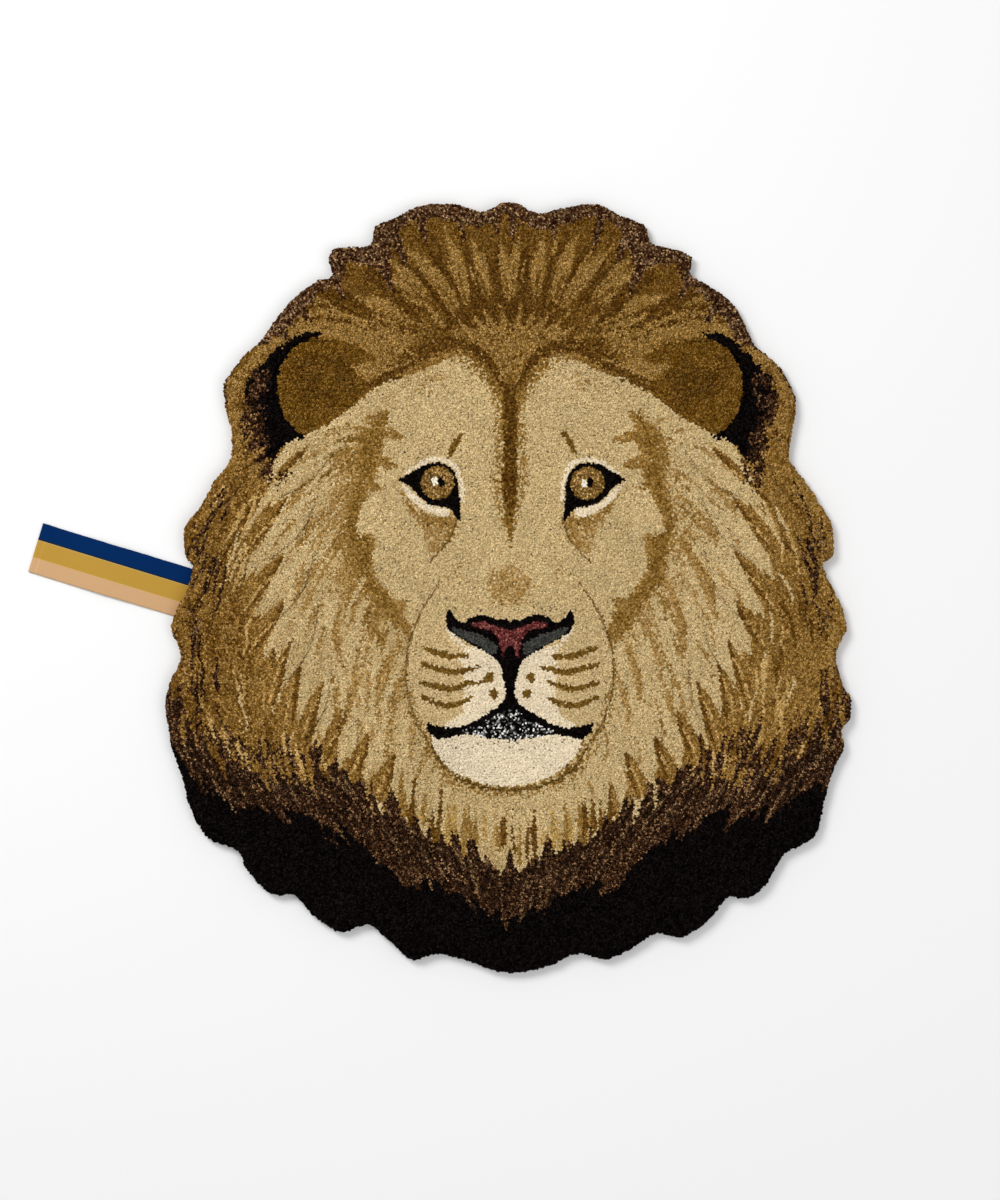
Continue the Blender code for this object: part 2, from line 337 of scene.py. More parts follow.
def draw_crown(d, rng):
    d.area("crown", CROWN, 1.2, 3)
    strokes(d, rng, "crown_dark", CROWN_GAPS, 2.5, fuzz=0.5, streak=1.2, fat=0.55)
    d.area("crown_dark", CROWN_FOOT, 2, 3, 0.8, mirror=False)
    for k in range(FINE_LOCKS):
        turn = rng.uniform(-FINE_LOCKS_TO, FINE_LOCKS_TO)
        root = np.array(FINE_LOCKS_FROM) + direction(turn) * rng.uniform(84, 165)
        tip = root + direction(turn * 1.12) * rng.uniform(16, 38)
        yarn = ("crown", "crown_dark", "crown_light")[k % 3]
        d.leaf(yarn, root, tip, rng.uniform(2.5, 5), 0.04, 0.4, 1)
    for side, row, stray in both_sides(CROWN_LOCKS, rng, 2.5):
        stroke(d, "crown_light", row, side, stray, fuzz=0.5, streak=1.0, fat=0.5)
        root_u, root_v, tip_u, tip_v, width, bend = row
        half_way = (root_u + tip_u) / 2, (root_v + tip_v) / 2
        vein = (root_u, root_v, *half_way, width * 0.26, bend)
        stroke(d, "crown", vein, side, stray, fuzz=0.4, streak=1, share=0.8)
    strokes(d, rng, "crown_light", FAN, 1.5, fuzz=0.5, streak=1)
    d.area("crown_light", CROWN_MIDDLE, 1.0, 2, 0.8, mirror=False)


RIM_DEPTH = (  # degrees from the crown; its depth
    (0, 17, 21, 25, 29, 36, 42, 46, 57),
    (15, 15, 27, 17, 12, 16, 13, 4, 0),
)
TEETH_FROM = (  # degrees from the crown; how far from the middle its teeth begin
    (0, 20, 25, 60),
    (382, 384, 366, 344),
)
RIM_WAVE = 6  # how much deeper the rim's waves are than the rest of it
RIM_TEETH = (  # degrees, length, width
    (1.0, 36, 9),
    (8.0, 34, 9),
    (13.5, 36, 10),
    (18.5, 46, 11),
    (22.5, 60, 14),
    (30.5, 28, 9),
    (36.5, 32, 10),
    (44.0, 24, 9),
)


def draw_rim(d, rng, edge):
    degrees = np.degrees(np.arctan2(d.p[:, 0], d.p[:, 1]))
    depth = np.interp(np.abs(degrees), *RIM_DEPTH)
    turn = degrees * 11 + 20 * np.sin(np.radians(degrees * 3))
    depth += RIM_WAVE * np.abs(np.sin(np.radians(turn)))
    ragged = edge + 1.2 * d.stray[:, 0] < depth - 4
    d.paint("rim", ragged & (np.abs(degrees) < RIM_DEPTH[0][-1]))
    for side, (turn, length, width), stray in both_sides(RIM_TEETH, rng, 1.2):
        way = direction(turn + stray[0], side)
        out = between(turn, TEETH_FROM)
        root, tip = way * out, way * (out - length - 3 * stray[1])
        d.leaf("rim", root, tip, width + stray[2], 0, 0.9, 1.5, 0.15)


# ---- ears

SWEEPS = (  # line, widths: the locks that arch over each ear
    (
        ((92, 232), (130, 252), (176, 264), (222, 258), (256, 232), (274, 196)),
        (5, 9, 13, 13, 10, 4),
    ),
    (((118, 246), (160, 270), (204, 276), (244, 254)), (4, 7, 8, 4)),
    (((70, 250), (110, 262), (150, 276), (196, 288), (226, 276)), (4, 8, 8, 7, 3)),
    (((268, 222), (278, 196), (274, 164), (270, 138)), (3, 6, 5, 2)),
)
SWEEP_GAPS = (
    (((96, 254), (140, 268), (186, 282), (232, 268)), (2, 4, 5, 2)),
    (((104, 238), (140, 258), (180, 270), (226, 266)), (2, 4, 4, 1)),
)
SIDE_LOBES = (  # the dark locks between the crown and the ears
    (134, 266, 190, 297, 15, 0.06),
    (104, 286, 148, 322, 12, 0.03),
    (84, 262, 122, 290, 8, 0.03),
)
EAR_BLACK = (
    (188, 256), (208, 255), (228, 243), (246, 226), (262, 208), (264, 190), (256, 172), (252, 150),
    (247, 136), (240, 126), (233, 132), (226, 142), (216, 149), (204, 154), (224, 190), (216, 236),
)
EAR = (
    (133, 230), (153, 243), (174, 249), (196, 251), (218, 240), (231, 218), (233, 196),
    (226, 172), (214, 157), (205, 154), (190, 160), (176, 168), (160, 179), (145, 192),
    (137, 201), (150, 212), (164, 223), (148, 224),
)
EAR_NOTCH = ((112, 228), (135, 226), (164, 223), (150, 213), (138, 202), (122, 209))
EAR_BEHIND = (  # v; u of the heather streaks behind the ear
    (116, 150, 190, 226),
    (238, 250, 257, 247),
)
EAR_RIDGE = ((130, 236), (150, 249), (176, 255), (204, 258))


def draw_ears(d, rng):
    for yarn, rows in (("crown_light", SWEEPS), ("crown_dark", SWEEP_GAPS)):
        for side, (line, widths), stray in both_sides(rows, rng, 1.5):
            line = [(side * (u + stray[0]), v + stray[1]) for u, v in line]
            d.band(yarn, line, widths, 1.0, 3, 0.85, mirror=False)
    for side, row, stray in both_sides(SIDE_LOBES, rng, 1.5):
        stroke(d, "crown_dark", row, side, stray, fuzz=0.7, streak=1.5, fat=0.6)
        root_u, root_v, tip_u, tip_v, width, bend = row
        vein = (root_u + 8, root_v + 3, tip_u - 12, tip_v - 8, width * 0.3, bend)
        stroke(d, "crown", vein, side, stray, fuzz=0.5, streak=1, share=0.8)
    d.area("black", EAR_BLACK, 0.9, 2)
    for _, side in by_turns(130):
        v = rng.uniform(116, 222)
        u = between(v, EAR_BEHIND) + rng.normal() * 5
        tip = (side * (u + 4), v - rng.uniform(10, 26))
        d.leaf("heather", (side * u, v), tip, rng.uniform(3, 6), 0.04 * side, 0.8, 2, 0.3, 0.75)
    d.area("ear", EAR, 0.4, smooth=False)
    for _, side in by_turns(40):
        u, v = rng.uniform(158, 212), rng.uniform(200, 238)
        tip = (side * (u + rng.uniform(-4, 12)), v - rng.uniform(14, 30))
        d.leaf("ear_dark", (side * u, v), tip, rng.uniform(5, 10), 0.05 * side, 1.2, 4)
    d.area("crown_light", EAR_NOTCH, 0.8, 1, 0.9, smooth=False)
    d.band("crown_light", EAR_RIDGE, (3, 5, 5, 2), 0.6, 1, 0.9)


# ---- beard

HEATHER_EDGE = (  # u, v: the heather lies below this line
    (0, 40, 80, 100, 122, 145, 168, 190, 240, 275, 300, 320, 345),
    (-262, -252, -240, -222, -204, -192, -180, -176, -176, -170, -156, -132, -100),
)
BLACK_EDGE = (  # and the black below this one
    (0, 8, 30, 56, 82, 104, 112, 140, 164, 186, 194, 214, 232, 252, 272, 292, 318, 332, 345),
    (-330, -326, -312, -304, -288, -302, -290, -262, -242, -246,
     -228, -221, -231, -217, -221, -205, -190, -166, -142),
)


def below(d, edge, fuzz, streak):
    q = d.at(fuzz, streak)
    return q[:, 1] < np.interp(np.abs(q[:, 0]), *edge)


COAT_HANGS = (  # u; degrees from the crown that the coat's ends hang
    (0, 100, 200, 260, 340),
    (180, 178, 184, 196, 200),
)
BEARD_HANGS = (
    (0, 30, 80, 200, 280, 340),
    (181, 190, 208, 214, 208, 202),
)
BLACK_FRINGES = (  # yarns, how many, from and to u, start over the edge, length, width, upwards
    (("heather",), 44, (0, 336), (8, 18), (20, 36), (6, 12), False),
    (("black",), 34, (110, 336), (-12, -6), (12, 26), (4, 8), True),
)
HEATHER_FRINGES = (
    (("mane", "mane", "mane_dark"), 90, (186, 342), (10, 30), (22, 46), (4, 8), False),
    (("heather",), 76, (176, 342), (-12, 2), (20, 52), (2.6, 5.5), True),
    (("mane_light", "mane", "rim"), 60, (180, 320), (6, 40), (16, 34), (2.6, 4.2), False),
)
BEARD_LOCKS = 420
BEARD_TO = 330  # how far out they stand


def fringe(d, rng, edge, hangs, row):
    """Locks along an edge of the beard, down across it or up."""
    yarns, count, (first, last), start, lengths, widths, upwards = row
    for k, side in by_turns(count):
        u = first + (k + rng.uniform(0, 0.9)) / count * (last - first)
        v = between(u, edge) + rng.uniform(*start)
        turn = between(u, hangs) + rng.normal() * 4
        length = rng.uniform(*lengths) * (-1 if upwards else 1)
        yarn = yarns[rng.integers(len(yarns))]
        lock(d, yarn, side, (u, v), turn, length, rng.uniform(*widths), 0.05, 0.6, 1.5, 0.35)


def draw_beard(d, rng):
    d.paint("heather", below(d, HEATHER_EDGE, 1.0, 2))
    d.paint("black", below(d, BLACK_EDGE, 0.4, 1))
    for row in BLACK_FRINGES:
        fringe(d, rng, BLACK_EDGE, BEARD_HANGS, row)
    for k, side in by_turns(BEARD_LOCKS):
        u = BEARD_TO * (k + rng.uniform(0, 1)) / BEARD_LOCKS
        low, high = between(u, BLACK_EDGE), between(u, HEATHER_EDGE)
        place = u, low + (high - low) * rng.uniform(0.36, 1.1)
        turn = between(u, BEARD_HANGS) + rng.normal() * 5
        length, width = rng.uniform(22, 48), rng.uniform(2.2, 3.4)
        yarn = ("heather_dark", "heather_light", "heather_dark")[k // 2 % 3]
        lock(d, yarn, side, place, turn, length, width, 0.05, 0.2, 0.3, 0.5, 0.9)
    for row in HEATHER_FRINGES:
        fringe(d, rng, HEATHER_EDGE, COAT_HANGS, row)


# ---- mane

LEFT_DARKER_FROM = -262  # u
MANE_DUSK = (  # u, v, half sizes: where the mane's edge is darker
    (311, 50, 8, 20),
    (317, -30, 7, 22),
    (325, -84, 8, 24),
)
MANE_HAIRS = (  # side, then places down each of the dark ones
    (1, (285, 107), (292, 90), (299, 74), (302, 56), (310, 35)),
    (1, (295, 35), (301, 18), (304, 4), (303, -8), (307, -20), (313, -34), (312, -52)),
    (-1, (284, 102), (297, 85), (302, 65), (315, 48), (311, 24)),
    (-1, (297, 30), (303, 12), (309, -8), (312, -24), (314, -54), (307, -80), (305, -114)),
    (-1, (294, -114), (286, -138), (266, -158)),
)
LOOSE_HAIRS_AT = (  # v; u of the dark hairs near the mane's edge
    (-125, -40, 40, 104),
    (314, 310, 300, 280),
)
HAIR_STEP = 8


def hair(d, rng, yarn, side, start, length, width):
    """A fine hair that wanders as it follows the coat."""
    point = np.array(start, float)
    line = [point]
    for _ in range(int(length / HAIR_STEP) + 1):
        turn = combed(*point) + rng.normal() * 10
        point = point + direction(turn) * HAIR_STEP
        line.append(point)
    line = [(side * u, v) for u, v in line]
    d.band(yarn, line, (width * 0.6, width, width, width * 0.6), 0.25, 0, mirror=False)


def draw_mane(d, rng):
    for k, side in by_turns(190):
        u, v = rng.uniform(232, 330), rng.uniform(-130, 200)
        turn = combed(u, v) + rng.normal() * 6
        yarn = ("mane_dark", "mane", "shade" if side > 0 else "mane_dark")[k // 2 % 3]
        width, length = rng.uniform(3, 7), rng.uniform(24, 56)
        lock(d, yarn, side, (u, v), turn, length, width, 0.05, 0.7, 2.5, 0.45, 0.85)
    d.paint("mane_dark", (d.p[:, 0] < LEFT_DARKER_FROM) & d.made_of("mane"), 0.3)
    for k, side in by_turns(44):
        start = rng.uniform(240, 286), rng.uniform(-110, 104)
        yarn = ("mane_light", "mane_light", "cheek")[k // 2 % 3]
        hair(d, rng, yarn, side, start, rng.uniform(20, 52), 2.8)
    for side, *line in MANE_HAIRS:
        line = smooth_line([(side * u, v) for u, v in line], 4)
        line += rng.normal(size=line.shape) * 0.7
        d.band("heather", line, (1.6, 2.8, 2.2, 3.0, 1.6), 0.3, 0, 0.85, mirror=False)
    for u, v, wide, high in MANE_DUSK:
        d.ellipse("rim", (u, v), (wide, high), 2, 0.25, -12)
    for k in range(30):
        side = -1 if k % 3 else 1
        v = rng.uniform(-120, 104)
        u = between(v, LOOSE_HAIRS_AT) + rng.normal() * 10
        hair(d, rng, "heather", side, (u, v), rng.uniform(16, 48), 2.9)


# ---- cheeks

CHEEK_LOCKS = (  # light ones: root u, v, tip u, v, width, bend
    (196, 152, 241, 111, 14, 0.05),
    (196, 126, 254, 78, 14, 0.06),
    (236, 90, 277, 34, 4, 0.04),
    (206, 84, 265, 6, 18, 0.06),
    (204, 34, 256, -30, 17, 0.06),
    (206, -12, 243, -70, 15, 0.06),
    (206, -34, 232, -120, 16, 0.09),
    (190, -66, 209, -137, 15, 0.07),
    (172, -92, 198, -161, 17, 0.07),
    (148, -118, 170, -182, 18, 0.07),
    (124, -142, 143, -198, 18, 0.07),
    (102, -160, 102, -237, 17, 0.08),
    (86, -186, 82, -250, 14, 0.04),
    (64, -196, 63, -258, 13, 0.03),
    (46, -206, 46, -268, 12, 0.03),
    (28, -216, 28, -276, 12, 0.02),
    (10, -224, 10, -286, 11, 0.00),
)
CHEEK_GAPS = (  # the darker ones between them
    (203, 141, 236, 106, 7, 0.04),
    (222, 92, 264, 34, 12, 0.05),
    (225, 37, 264, -24, 13, 0.05),
    (225, -12, 256, -64, 13, 0.05),
    (218, -51, 238, -120, 11, 0.05),
    (208, -74, 219, -148, 12, 0.07),
    (186, -92, 206, -166, 13, 0.06),
    (166, -121, 186, -178, 12, 0.05),
    (144, -147, 160, -196, 12, 0.05),
    (115, -163, 130, -212, 13, 0.05),
    (94, -188, 106, -230, 8, 0.04),
    (72, -212, 74, -256, 6, 0.03),
)
GAP_OPENS = 1.35  # how much wider a gap is where it opens into the mane
CHEEK = (
    (0, -254), (40, -244), (78, -232), (98, -214), (120, -198), (144, -182), (166, -166),
    (190, -148), (206, -126), (222, -104), (234, -62), (246, -30), (254, 6), (248, 50), (240, 84),
    (234, 112), (222, 146), (196, 156), (178, 164), (158, 175), (138, 192), (112, 208), (78, 222),
    (50, 232), (26, 222), (10, 196), (0, 190), (0, 180),
)
CHEEK_CREST = ((108, 208), (130, 196), (160, 176), (190, 157), (214, 143), (230, 126), (242, 106))


def draw_cheeks(d, rng):
    d.area("cheek", CHEEK, 0.3, 0.4)
    locks = list(both_sides(CHEEK_LOCKS, rng, 1.5))
    for side, row, stray in locks:
        stroke(d, "cheek", row, side, stray, fuzz=0.25, streak=0.4)
    draw_cheek_strands(d, rng)
    for side, row, stray in locks:
        root_u, root_v, tip_u, tip_v, width, bend = row
        end = tip_u * 0.92 + root_u * 0.08, tip_v * 0.92 + root_v * 0.08
        inner = (root_u, root_v + 2, *end, width * 0.5, bend)
        stroke(d, "face", inner, side, stray, fuzz=0.5, streak=1, share=0.85)
    d.band("face", CHEEK_CREST, (6, 11, 13, 13, 12, 8, 3), 0.6, 1, 0.92)
    for side, row, stray in both_sides(CHEEK_GAPS, rng, 1.5):
        root_u, root_v, tip_u, tip_v, width, bend = row
        open_end = (tip_u, tip_v, root_u, root_v, width * GAP_OPENS, -bend)
        stroke(d, "mane", open_end, side, stray, fuzz=0.3, streak=0.5, fat=0.3)
        length = math.hypot(tip_u - root_u, tip_v - root_v)
        edge = bend - (width / 2 - 1.4) / length
        stroke(d, "mane_dark", (*row[:4], 4.4, edge), side, stray, fuzz=0.3, streak=0.5, fat=0.4)
        pale = (root_u + 4, root_v - 16, tip_u + 4, tip_v - 2, 3, bend)
        stroke(d, "mane_light", pale, side, stray, fuzz=0.3, streak=0.3, share=0.8)
    draw_beard_tips(d, rng)
    draw_temple(d, rng)


BEARD_TIPS = (  # how many, how far apart, v in the middle, curve, lengths, yarns, streak, fat
    (30, 7.2, -226, 0.0032, (30, 52), ("bottom_gold", "shade", "shade", "mane_dark"), 1.5, 0.6),
    (18, 11.5, -208, 0.003, (36, 56), ("face",), 2, 0.5),
)


def draw_beard_tips(d, rng):
    """The golden points under the chin, then the light ones over them."""
    for count, apart, middle, curve, lengths, yarns, streak, fat in BEARD_TIPS:
        for k in range(count):
            u = (k - (count - 1) / 2) * apart + rng.normal() * 2
            v = middle + curve * u * u + rng.normal() * 5
            tip = np.array([u * 1.03, v - rng.uniform(*lengths)])
            yarn = yarns[rng.integers(len(yarns))]
            d.leaf(yarn, (u, v), tip, rng.uniform(4, 7), 0, 0.5, streak, fat)


CHEEK_ROWS = (  # how far out each row of locks begins, and how many there are a side
    (0.80, 17),
    (0.46, 19),
    (0.12, 21),
)
CHEEK_TOP, CHEEK_LOW = 168, -184  # v from which and to which the rows run
CHEEK_SHADES = (  # soft tan locks: root u, v, tip u, v, width, bend
    (158, 56, 206, -34, 15, 0.10),
    (146, 20, 174, -76, 13, 0.10),
    (126, -18, 153, -92, 12, 0.08),
    (109, -50, 131, -118, 11, 0.08),
    (102, -80, 116, -132, 9, 0.06),
    (181, 82, 212, 36, 11, 0.08),
    (193, 110, 226, 68, 9, 0.06),
    (148, -86, 164, -140, 9, 0.08),
)
CHEEK_LIGHTS = (  # and the pale ones between them
    (164, 8, 186, -52, 11, 0.08),
    (142, -20, 163, -84, 10, 0.08),
    (121, -44, 141, -104, 9, 0.08),
    (112, -84, 126, -134, 8, 0.06),
    (176, 52, 203, 6, 8, 0.08),
    (196, 82, 224, 34, 8, 0.06),
)
CHEEK_INNER = (  # v; u beside the face
    (-190, -100, -30, 60, 120, 180),
    (56, 112, 112, 150, 140, 124),
)
CHEEK_OUTER = (  # v; u beside the mane
    (-190, -100, 0, 100, 150, 180),
    (126, 186, 214, 214, 196, 150),
)


def cheek_place(v, reach):
    """A place on the right cheek, its reach 0 beside the face and 1 beside the mane."""
    inner, outer = between(v, CHEEK_INNER), between(v, CHEEK_OUTER)
    return inner + (outer - inner) * reach


def draw_cheek_rows(d, rng):
    """Curved locks in rows, with a darker strand below many of them."""
    for reach, count in CHEEK_ROWS:
        row = []
        for k, side in by_turns(2 * count):
            along = (k // 2 + rng.uniform(0.2, 0.8)) / count
            v = CHEEK_TOP - (CHEEK_TOP - CHEEK_LOW) * along
            u = cheek_place(v, reach) + rng.normal() * 4
            turn = combed(u, v) + rng.normal() * 4
            root = np.array([side * u, v])
            tip = root + direction(turn, side) * rng.uniform(42, 66)
            below_it = direction(turn + 90, side) * rng.uniform(4.5, 6.5)
            row.append((side, root, tip, below_it, rng.uniform(0.08, 0.19) * side))
        for side, root, tip, below_it, bend in row:
            d.leaf("face", root, tip, rng.uniform(7, 11), bend, 0.5, 1.5, 0.5, 0.92)
        for side, root, tip, below_it, bend in row[::2] + row[1::4]:
            yarn = "shade" if rng.random() < (0.35 if side > 0 else 0.6) else "cheek_dark"
            low_end = tip + below_it * 0.6 - (tip - root) * rng.uniform(0, 0.3)
            d.leaf(yarn, root + below_it, low_end, rng.uniform(3.0, 5.2), bend, 0.5, 1.5, 0.4, 0.8)


def draw_cheek_strands(d, rng):
    draw_cheek_rows(d, rng)
    for side, row, stray in both_sides(CHEEK_SHADES, rng, 4.0):
        root_u, root_v, tip_u, tip_v, width, bend = row
        soft = (root_u, root_v, tip_u, tip_v, width * 0.8, bend)
        stroke(d, "cheek_dark", soft, side, stray, fuzz=0.9, streak=2, fat=0.6, share=0.9)
        core = (root_u + 4, root_v - 6, tip_u, tip_v + 8, width * 0.42, bend + 0.03)
        stroke(d, "shade", core, side, stray, fuzz=0.8, streak=2, fat=0.65, share=0.7)
    strokes(d, rng, "face", CHEEK_LIGHTS, 3.0, fuzz=0.6, streak=2, fat=0.5, share=0.95)
    d.paint("face", (d.p[:, 0] > 0) & d.made_of("cheek"), 0.8)
    for k, side in by_turns(70):
        v = rng.uniform(-190, 176)
        u = cheek_place(v, rng.uniform(0, 1))
        turn = combed(u, v) + rng.normal() * 5
        length, width, bend = rng.uniform(30, 64), rng.uniform(2.6, 5), rng.uniform(0.06, 0.16)
        yarn = ("cheek_dark", "cheek", "face")[k // 2 % 3]
        lock(d, yarn, side, (u, v), turn, length, width, bend, 0.6, 2, 0.45, 0.8)


TEMPLE = (  # u, v, width: the brown band between the face and the cheek
    (123, 176, 5),
    (132, 161, 15),
    (139, 146, 27),
    (143, 124, 25),
    (144, 107, 18),
    (151, 87, 14),
    (158, 69, 11),
    (158, 57, 12),
    (148, 47, 27),
    (148, 34, 21),
    (143, 11, 18),
    (131, -6, 16),
    (121, -20, 18),
    (112, -32, 24),
    (102, -46, 14),
    (95, -54, 5),
)
TEMPLE_FADES = (
    (142, 134, 176, 84, 30, 0.0),
    (150, 104, 196, 40, 28, 0.0),
    (150, 44, 178, -10, 24, 0.0),
    (128, -4, 146, -50, 18, 0.0),
)
TEMPLE_TEETH = (  # its points that run in over the face
    (134, 158, 103, 148, 11, 0.05),
    (141, 132, 112, 121, 12, 0.05),
    (148, 108, 126, 98, 8, 0.04),
    (122, -26, 100, -11, 12, 0.00),
    (112, -34, 97, -42, 9, 0.04),
)
TEMPLE_LOCKS_AT = (  # v; u of the loose locks beside the band
    (-50, 0, 60, 110, 165),
    (114, 144, 170, 158, 142),
)
TEMPLE_THIN_BELOW = -25  # v, on the left


def draw_temple(d, rng):
    """On the left it fades further into the cheek, and ends sooner."""
    for side, row, stray in both_sides(TEMPLE_FADES, rng, 2):
        share = 0.3 if side > 0 else 0.75
        stroke(d, "cheek_dark", row, side, stray, fuzz=2.5, streak=4, share=share)
    for side in (1, -1):
        shift = rng.normal(size=(len(TEMPLE), 2)) * 0.8
        widths = np.array(column(TEMPLE, 2), float)
        if side < 0:
            widths[np.array(column(TEMPLE, 1)) < TEMPLE_THIN_BELOW] *= 0.4
        line = [(side * (u + du), v + dv) for (u, v, _), (du, dv) in zip(TEMPLE, shift)]
        fade = 0.1 if side > 0 else 0.3
        outer = [(u + side * fade * width, v) for (u, v), width in zip(line, widths)]
        d.band("shade", outer, widths * (1 + fade), 1.0, 3, 0.7, mirror=False)
        d.band("shade", line, widths, 0.6, 1.2, 0.95, mirror=False)
        d.band("wedge", line, widths * 0.66, 1.0, 2, 0.7, mirror=False)
    for k in range(72):
        side = -1 if k % 3 else 1
        v = rng.uniform(-44, 160)
        u = between(v, TEMPLE_LOCKS_AT) + rng.normal() * 6
        turn = combed(u, v) + rng.normal() * 5
        length, width = rng.uniform(18, 42), rng.uniform(2.6, 5)
        yarns = ("shade", "cheek_dark", "shade", "cheek", "wedge" if side < 0 else "cheek")
        lock(d, yarns[k // 3 % 5], side, (u, v), turn, length, width, 0.1, 0.5, 1.5, 0.45, 0.85)


# ---- face

FACE = (
    (0, 170), (8, 180), (17, 204), (27, 221), (48, 233), (70, 226), (98, 206), (114, 192),
    (120, 172), (126, 160), (124, 144), (128, 130), (133, 112), (138, 98), (145, 86), (152, 70),
    (155, 57), (151, 53), (137, 54), (132, 48), (137, 35), (136, 22), (131, 10), (122, -2),
    (115, -12), (103, -14), (100, -20), (103, -30), (98, -44), (98, -50), (103, -92), (94, -132),
    (78, -158), (40, -196), (0, -202),
)
WEDGE = (
    (0, 206), (8, 200), (9, 180), (7, 150), (7, 122), (8.5, 106), (6.5, 86), (3, 66), (1, 44),
    (-1, 44),
)
BROW = (
    (5, 186), (10, 202), (20, 223), (36, 238), (60, 243), (84, 235), (106, 221), (124, 209),
    (142, 199),
)
BROW_WIDTHS = (6, 8, 9, 10, 12, 13, 13, 11, 4)
BROW_LIGHT = (
    (92, 249), (112, 258), (140, 259), (166, 264), (150, 250), (136, 238), (129, 223), (114, 234),
)
CLIPPED = (  # lines clipped into the pile, as in the rug's solid
    ((52, 70), (55, 62), (62, 46), (80, 26)),
    ((69, 6), (83, -14), (93, -34), (100, -54)),
    ((101, -52), (104, -92), (94, -132), (80, -156)),
    ((78, -160), (60, -184), (32, -198), (0, -203), (-2, -203)),
)
MUZZLE = ((0, -20), (60, -30), (88, -52), (96, -92), (88, -126), (70, -140), (40, -140), (0, -118))
BROW_CREASE = ((94, 230), (112, 222), (132, 215), (158, 221))
INNER_BROW = ((12, 186), (23, 210), (39, 225), (62, 231))
NOSE_FLANK = ((10, 196), (11, 160), (12, 126), (13, 104), (8, 78), (3, 56))
NOSE_RIDGE = ((3, 200), (3, 176), (3, 140), (3.5, 106), (1.5, 78))
SOFT_SPOTS = (  # yarn, middle, half sizes, fuzz, share, tilt
    ("cheek_dark", (78, 204), (17, 8), 3.0, 0.35, -20),
    ("cheek_dark", (2, 2), (20, 19), 2.6, 0.7, 0),
    ("shade", (3, -2), (12, 11), 2.6, 0.25, 0),
    ("cheek_dark", (54, 12), (8, 9), 3.0, 0.3, 0),
)
TICKS = (  # the marks over the eyes: line, widths
    (((-62, 131), (-56, 142), (-50, 153)), (3, 6.5, 7, 4)),
    (((54, 155), (60, 146), (66, 133)), (5, 7, 6, 2.5)),
)


def draw_face(d, rng):
    d.area("face", FACE, 0.6, 1.2, smooth=False)
    strokes(d, rng, "shade", TEMPLE_TEETH, 2.0, fuzz=0.6, streak=0.8, share=0.95)
    d.area("muzzle", MUZZLE, 2.0, 2, 0.7)
    for side, lift in ((1, 0), (-1, 2)):
        brow = [(side * u, v + lift) for u, v in BROW]
        d.band("crown_dark", brow, BROW_WIDTHS, 0.8, 1.5, 0.9, mirror=False)
        outer = [(u, v + 1) for u, v in brow[4:8]]
        d.band("crown", outer, (2, 4, 5, 2), 0.8, 1.5, 0.7, mirror=False)
    d.area("crown_light", BROW_LIGHT, 1.2, 2, 0.85)
    d.band("cheek_dark", BROW_CREASE, (2, 3, 3.5, 1), 0.4, 0, 0.8)
    d.band("shade", INNER_BROW, (7, 14, 13, 5), 1.8, 2, 0.6)
    d.band("wedge", ((12, 194), (22, 213), (36, 227)), (4, 9, 6), 1.5, 2, 0.65)
    d.band("shade", NOSE_FLANK, (8, 8, 9, 9, 6, 3), 1.5, 3, 0.6)
    d.area("wedge", WEDGE, 0.9, 2)
    d.band("crown_dark", NOSE_RIDGE, (6, 7, 6, 8, 3), 1.0, 2, 0.8)
    for yarn, *spot in SOFT_SPOTS:
        d.ellipse(yarn, *spot)
    # the dark yarn along the clipped lines is partly the rug's own dark line and partly painted
    # shade in their grooves
    for line in CLIPPED:
        d.band("shade", line, (2.2, 2.6, 2.6, 2.2), 0.3, 0, 0.8)
    muzzle_side, under_chin = CLIPPED[2:]
    d.band("shade", muzzle_side, (3, 7, 9, 8), 1.4, 1, 0.45)
    d.band("shade", under_chin, (18, 20, 16, 10, 8), 2.4, 1, 0.5)
    d.band("mark", under_chin, (8, 8, 7, 5, 5), 1.6, 1, 0.5)
    for line, widths in TICKS:
        d.band("mark", line, widths, 0.5, 0, 0.95, mirror=False)


# ---- eyes

EYES = (  # side, iris centre u, v, pupil u, v, its half sizes, glint u, v
    (-1, 72.5, 105.5, 69.0, 105.8, 3.3, 4.5, 75.4, 106.6),
    (1, 77.5, 104.5, 80.0, 105.8, 3.1, 5.4, 74.4, 105.0),
)
EYE_SHIFT = {-1: -3.6, 1: 1.0}  # how far out each eye lies from the drawing below
EYE_BLACK = (
    (116, 108.5), (105, 114), (94, 121), (84, 125), (76, 125.5), (66, 123), (58.5, 115.5),
    (55.5, 106), (54.5, 92), (53, 78), (52.5, 66), (57, 70), (61, 77), (66, 80), (76, 81.5),
    (86, 84.5), (94, 90.5), (101, 98.5), (108, 104.5),
)
LID_BELOW = (
    (112, 106), (104, 98.5), (95, 90), (86, 84), (76, 81), (66, 79.5), (64, 75), (70, 70.5),
    (80, 74), (92, 80), (103, 89), (109, 98),
)
UNDER_EYE = (
    (56, 74), (64, 76), (82, 71), (97, 80), (109, 99), (106, 86), (94, 68), (85, 52), (79, 32),
    (69, 40), (59, 50), (54, 62),
)
LID_ABOVE = (
    (51, 88), (52, 102), (55.5, 115.5), (63.5, 125.5), (76, 128.8), (87, 127), (98, 121),
    (108, 114),
)
LID_WIDTHS = (2.5, 3.6, 4.6, 4.6, 4.4, 4.2, 3.6, 2)
IRIS = (17, 16.6)  # half sizes
IRIS_RINGS = (  # yarn, how far out, half width, share
    ("mark", 15.5, 1.4, 0.6),
    ("wedge", 8, 2, 0.3),
)
GLINT = (3.1, 4.4)


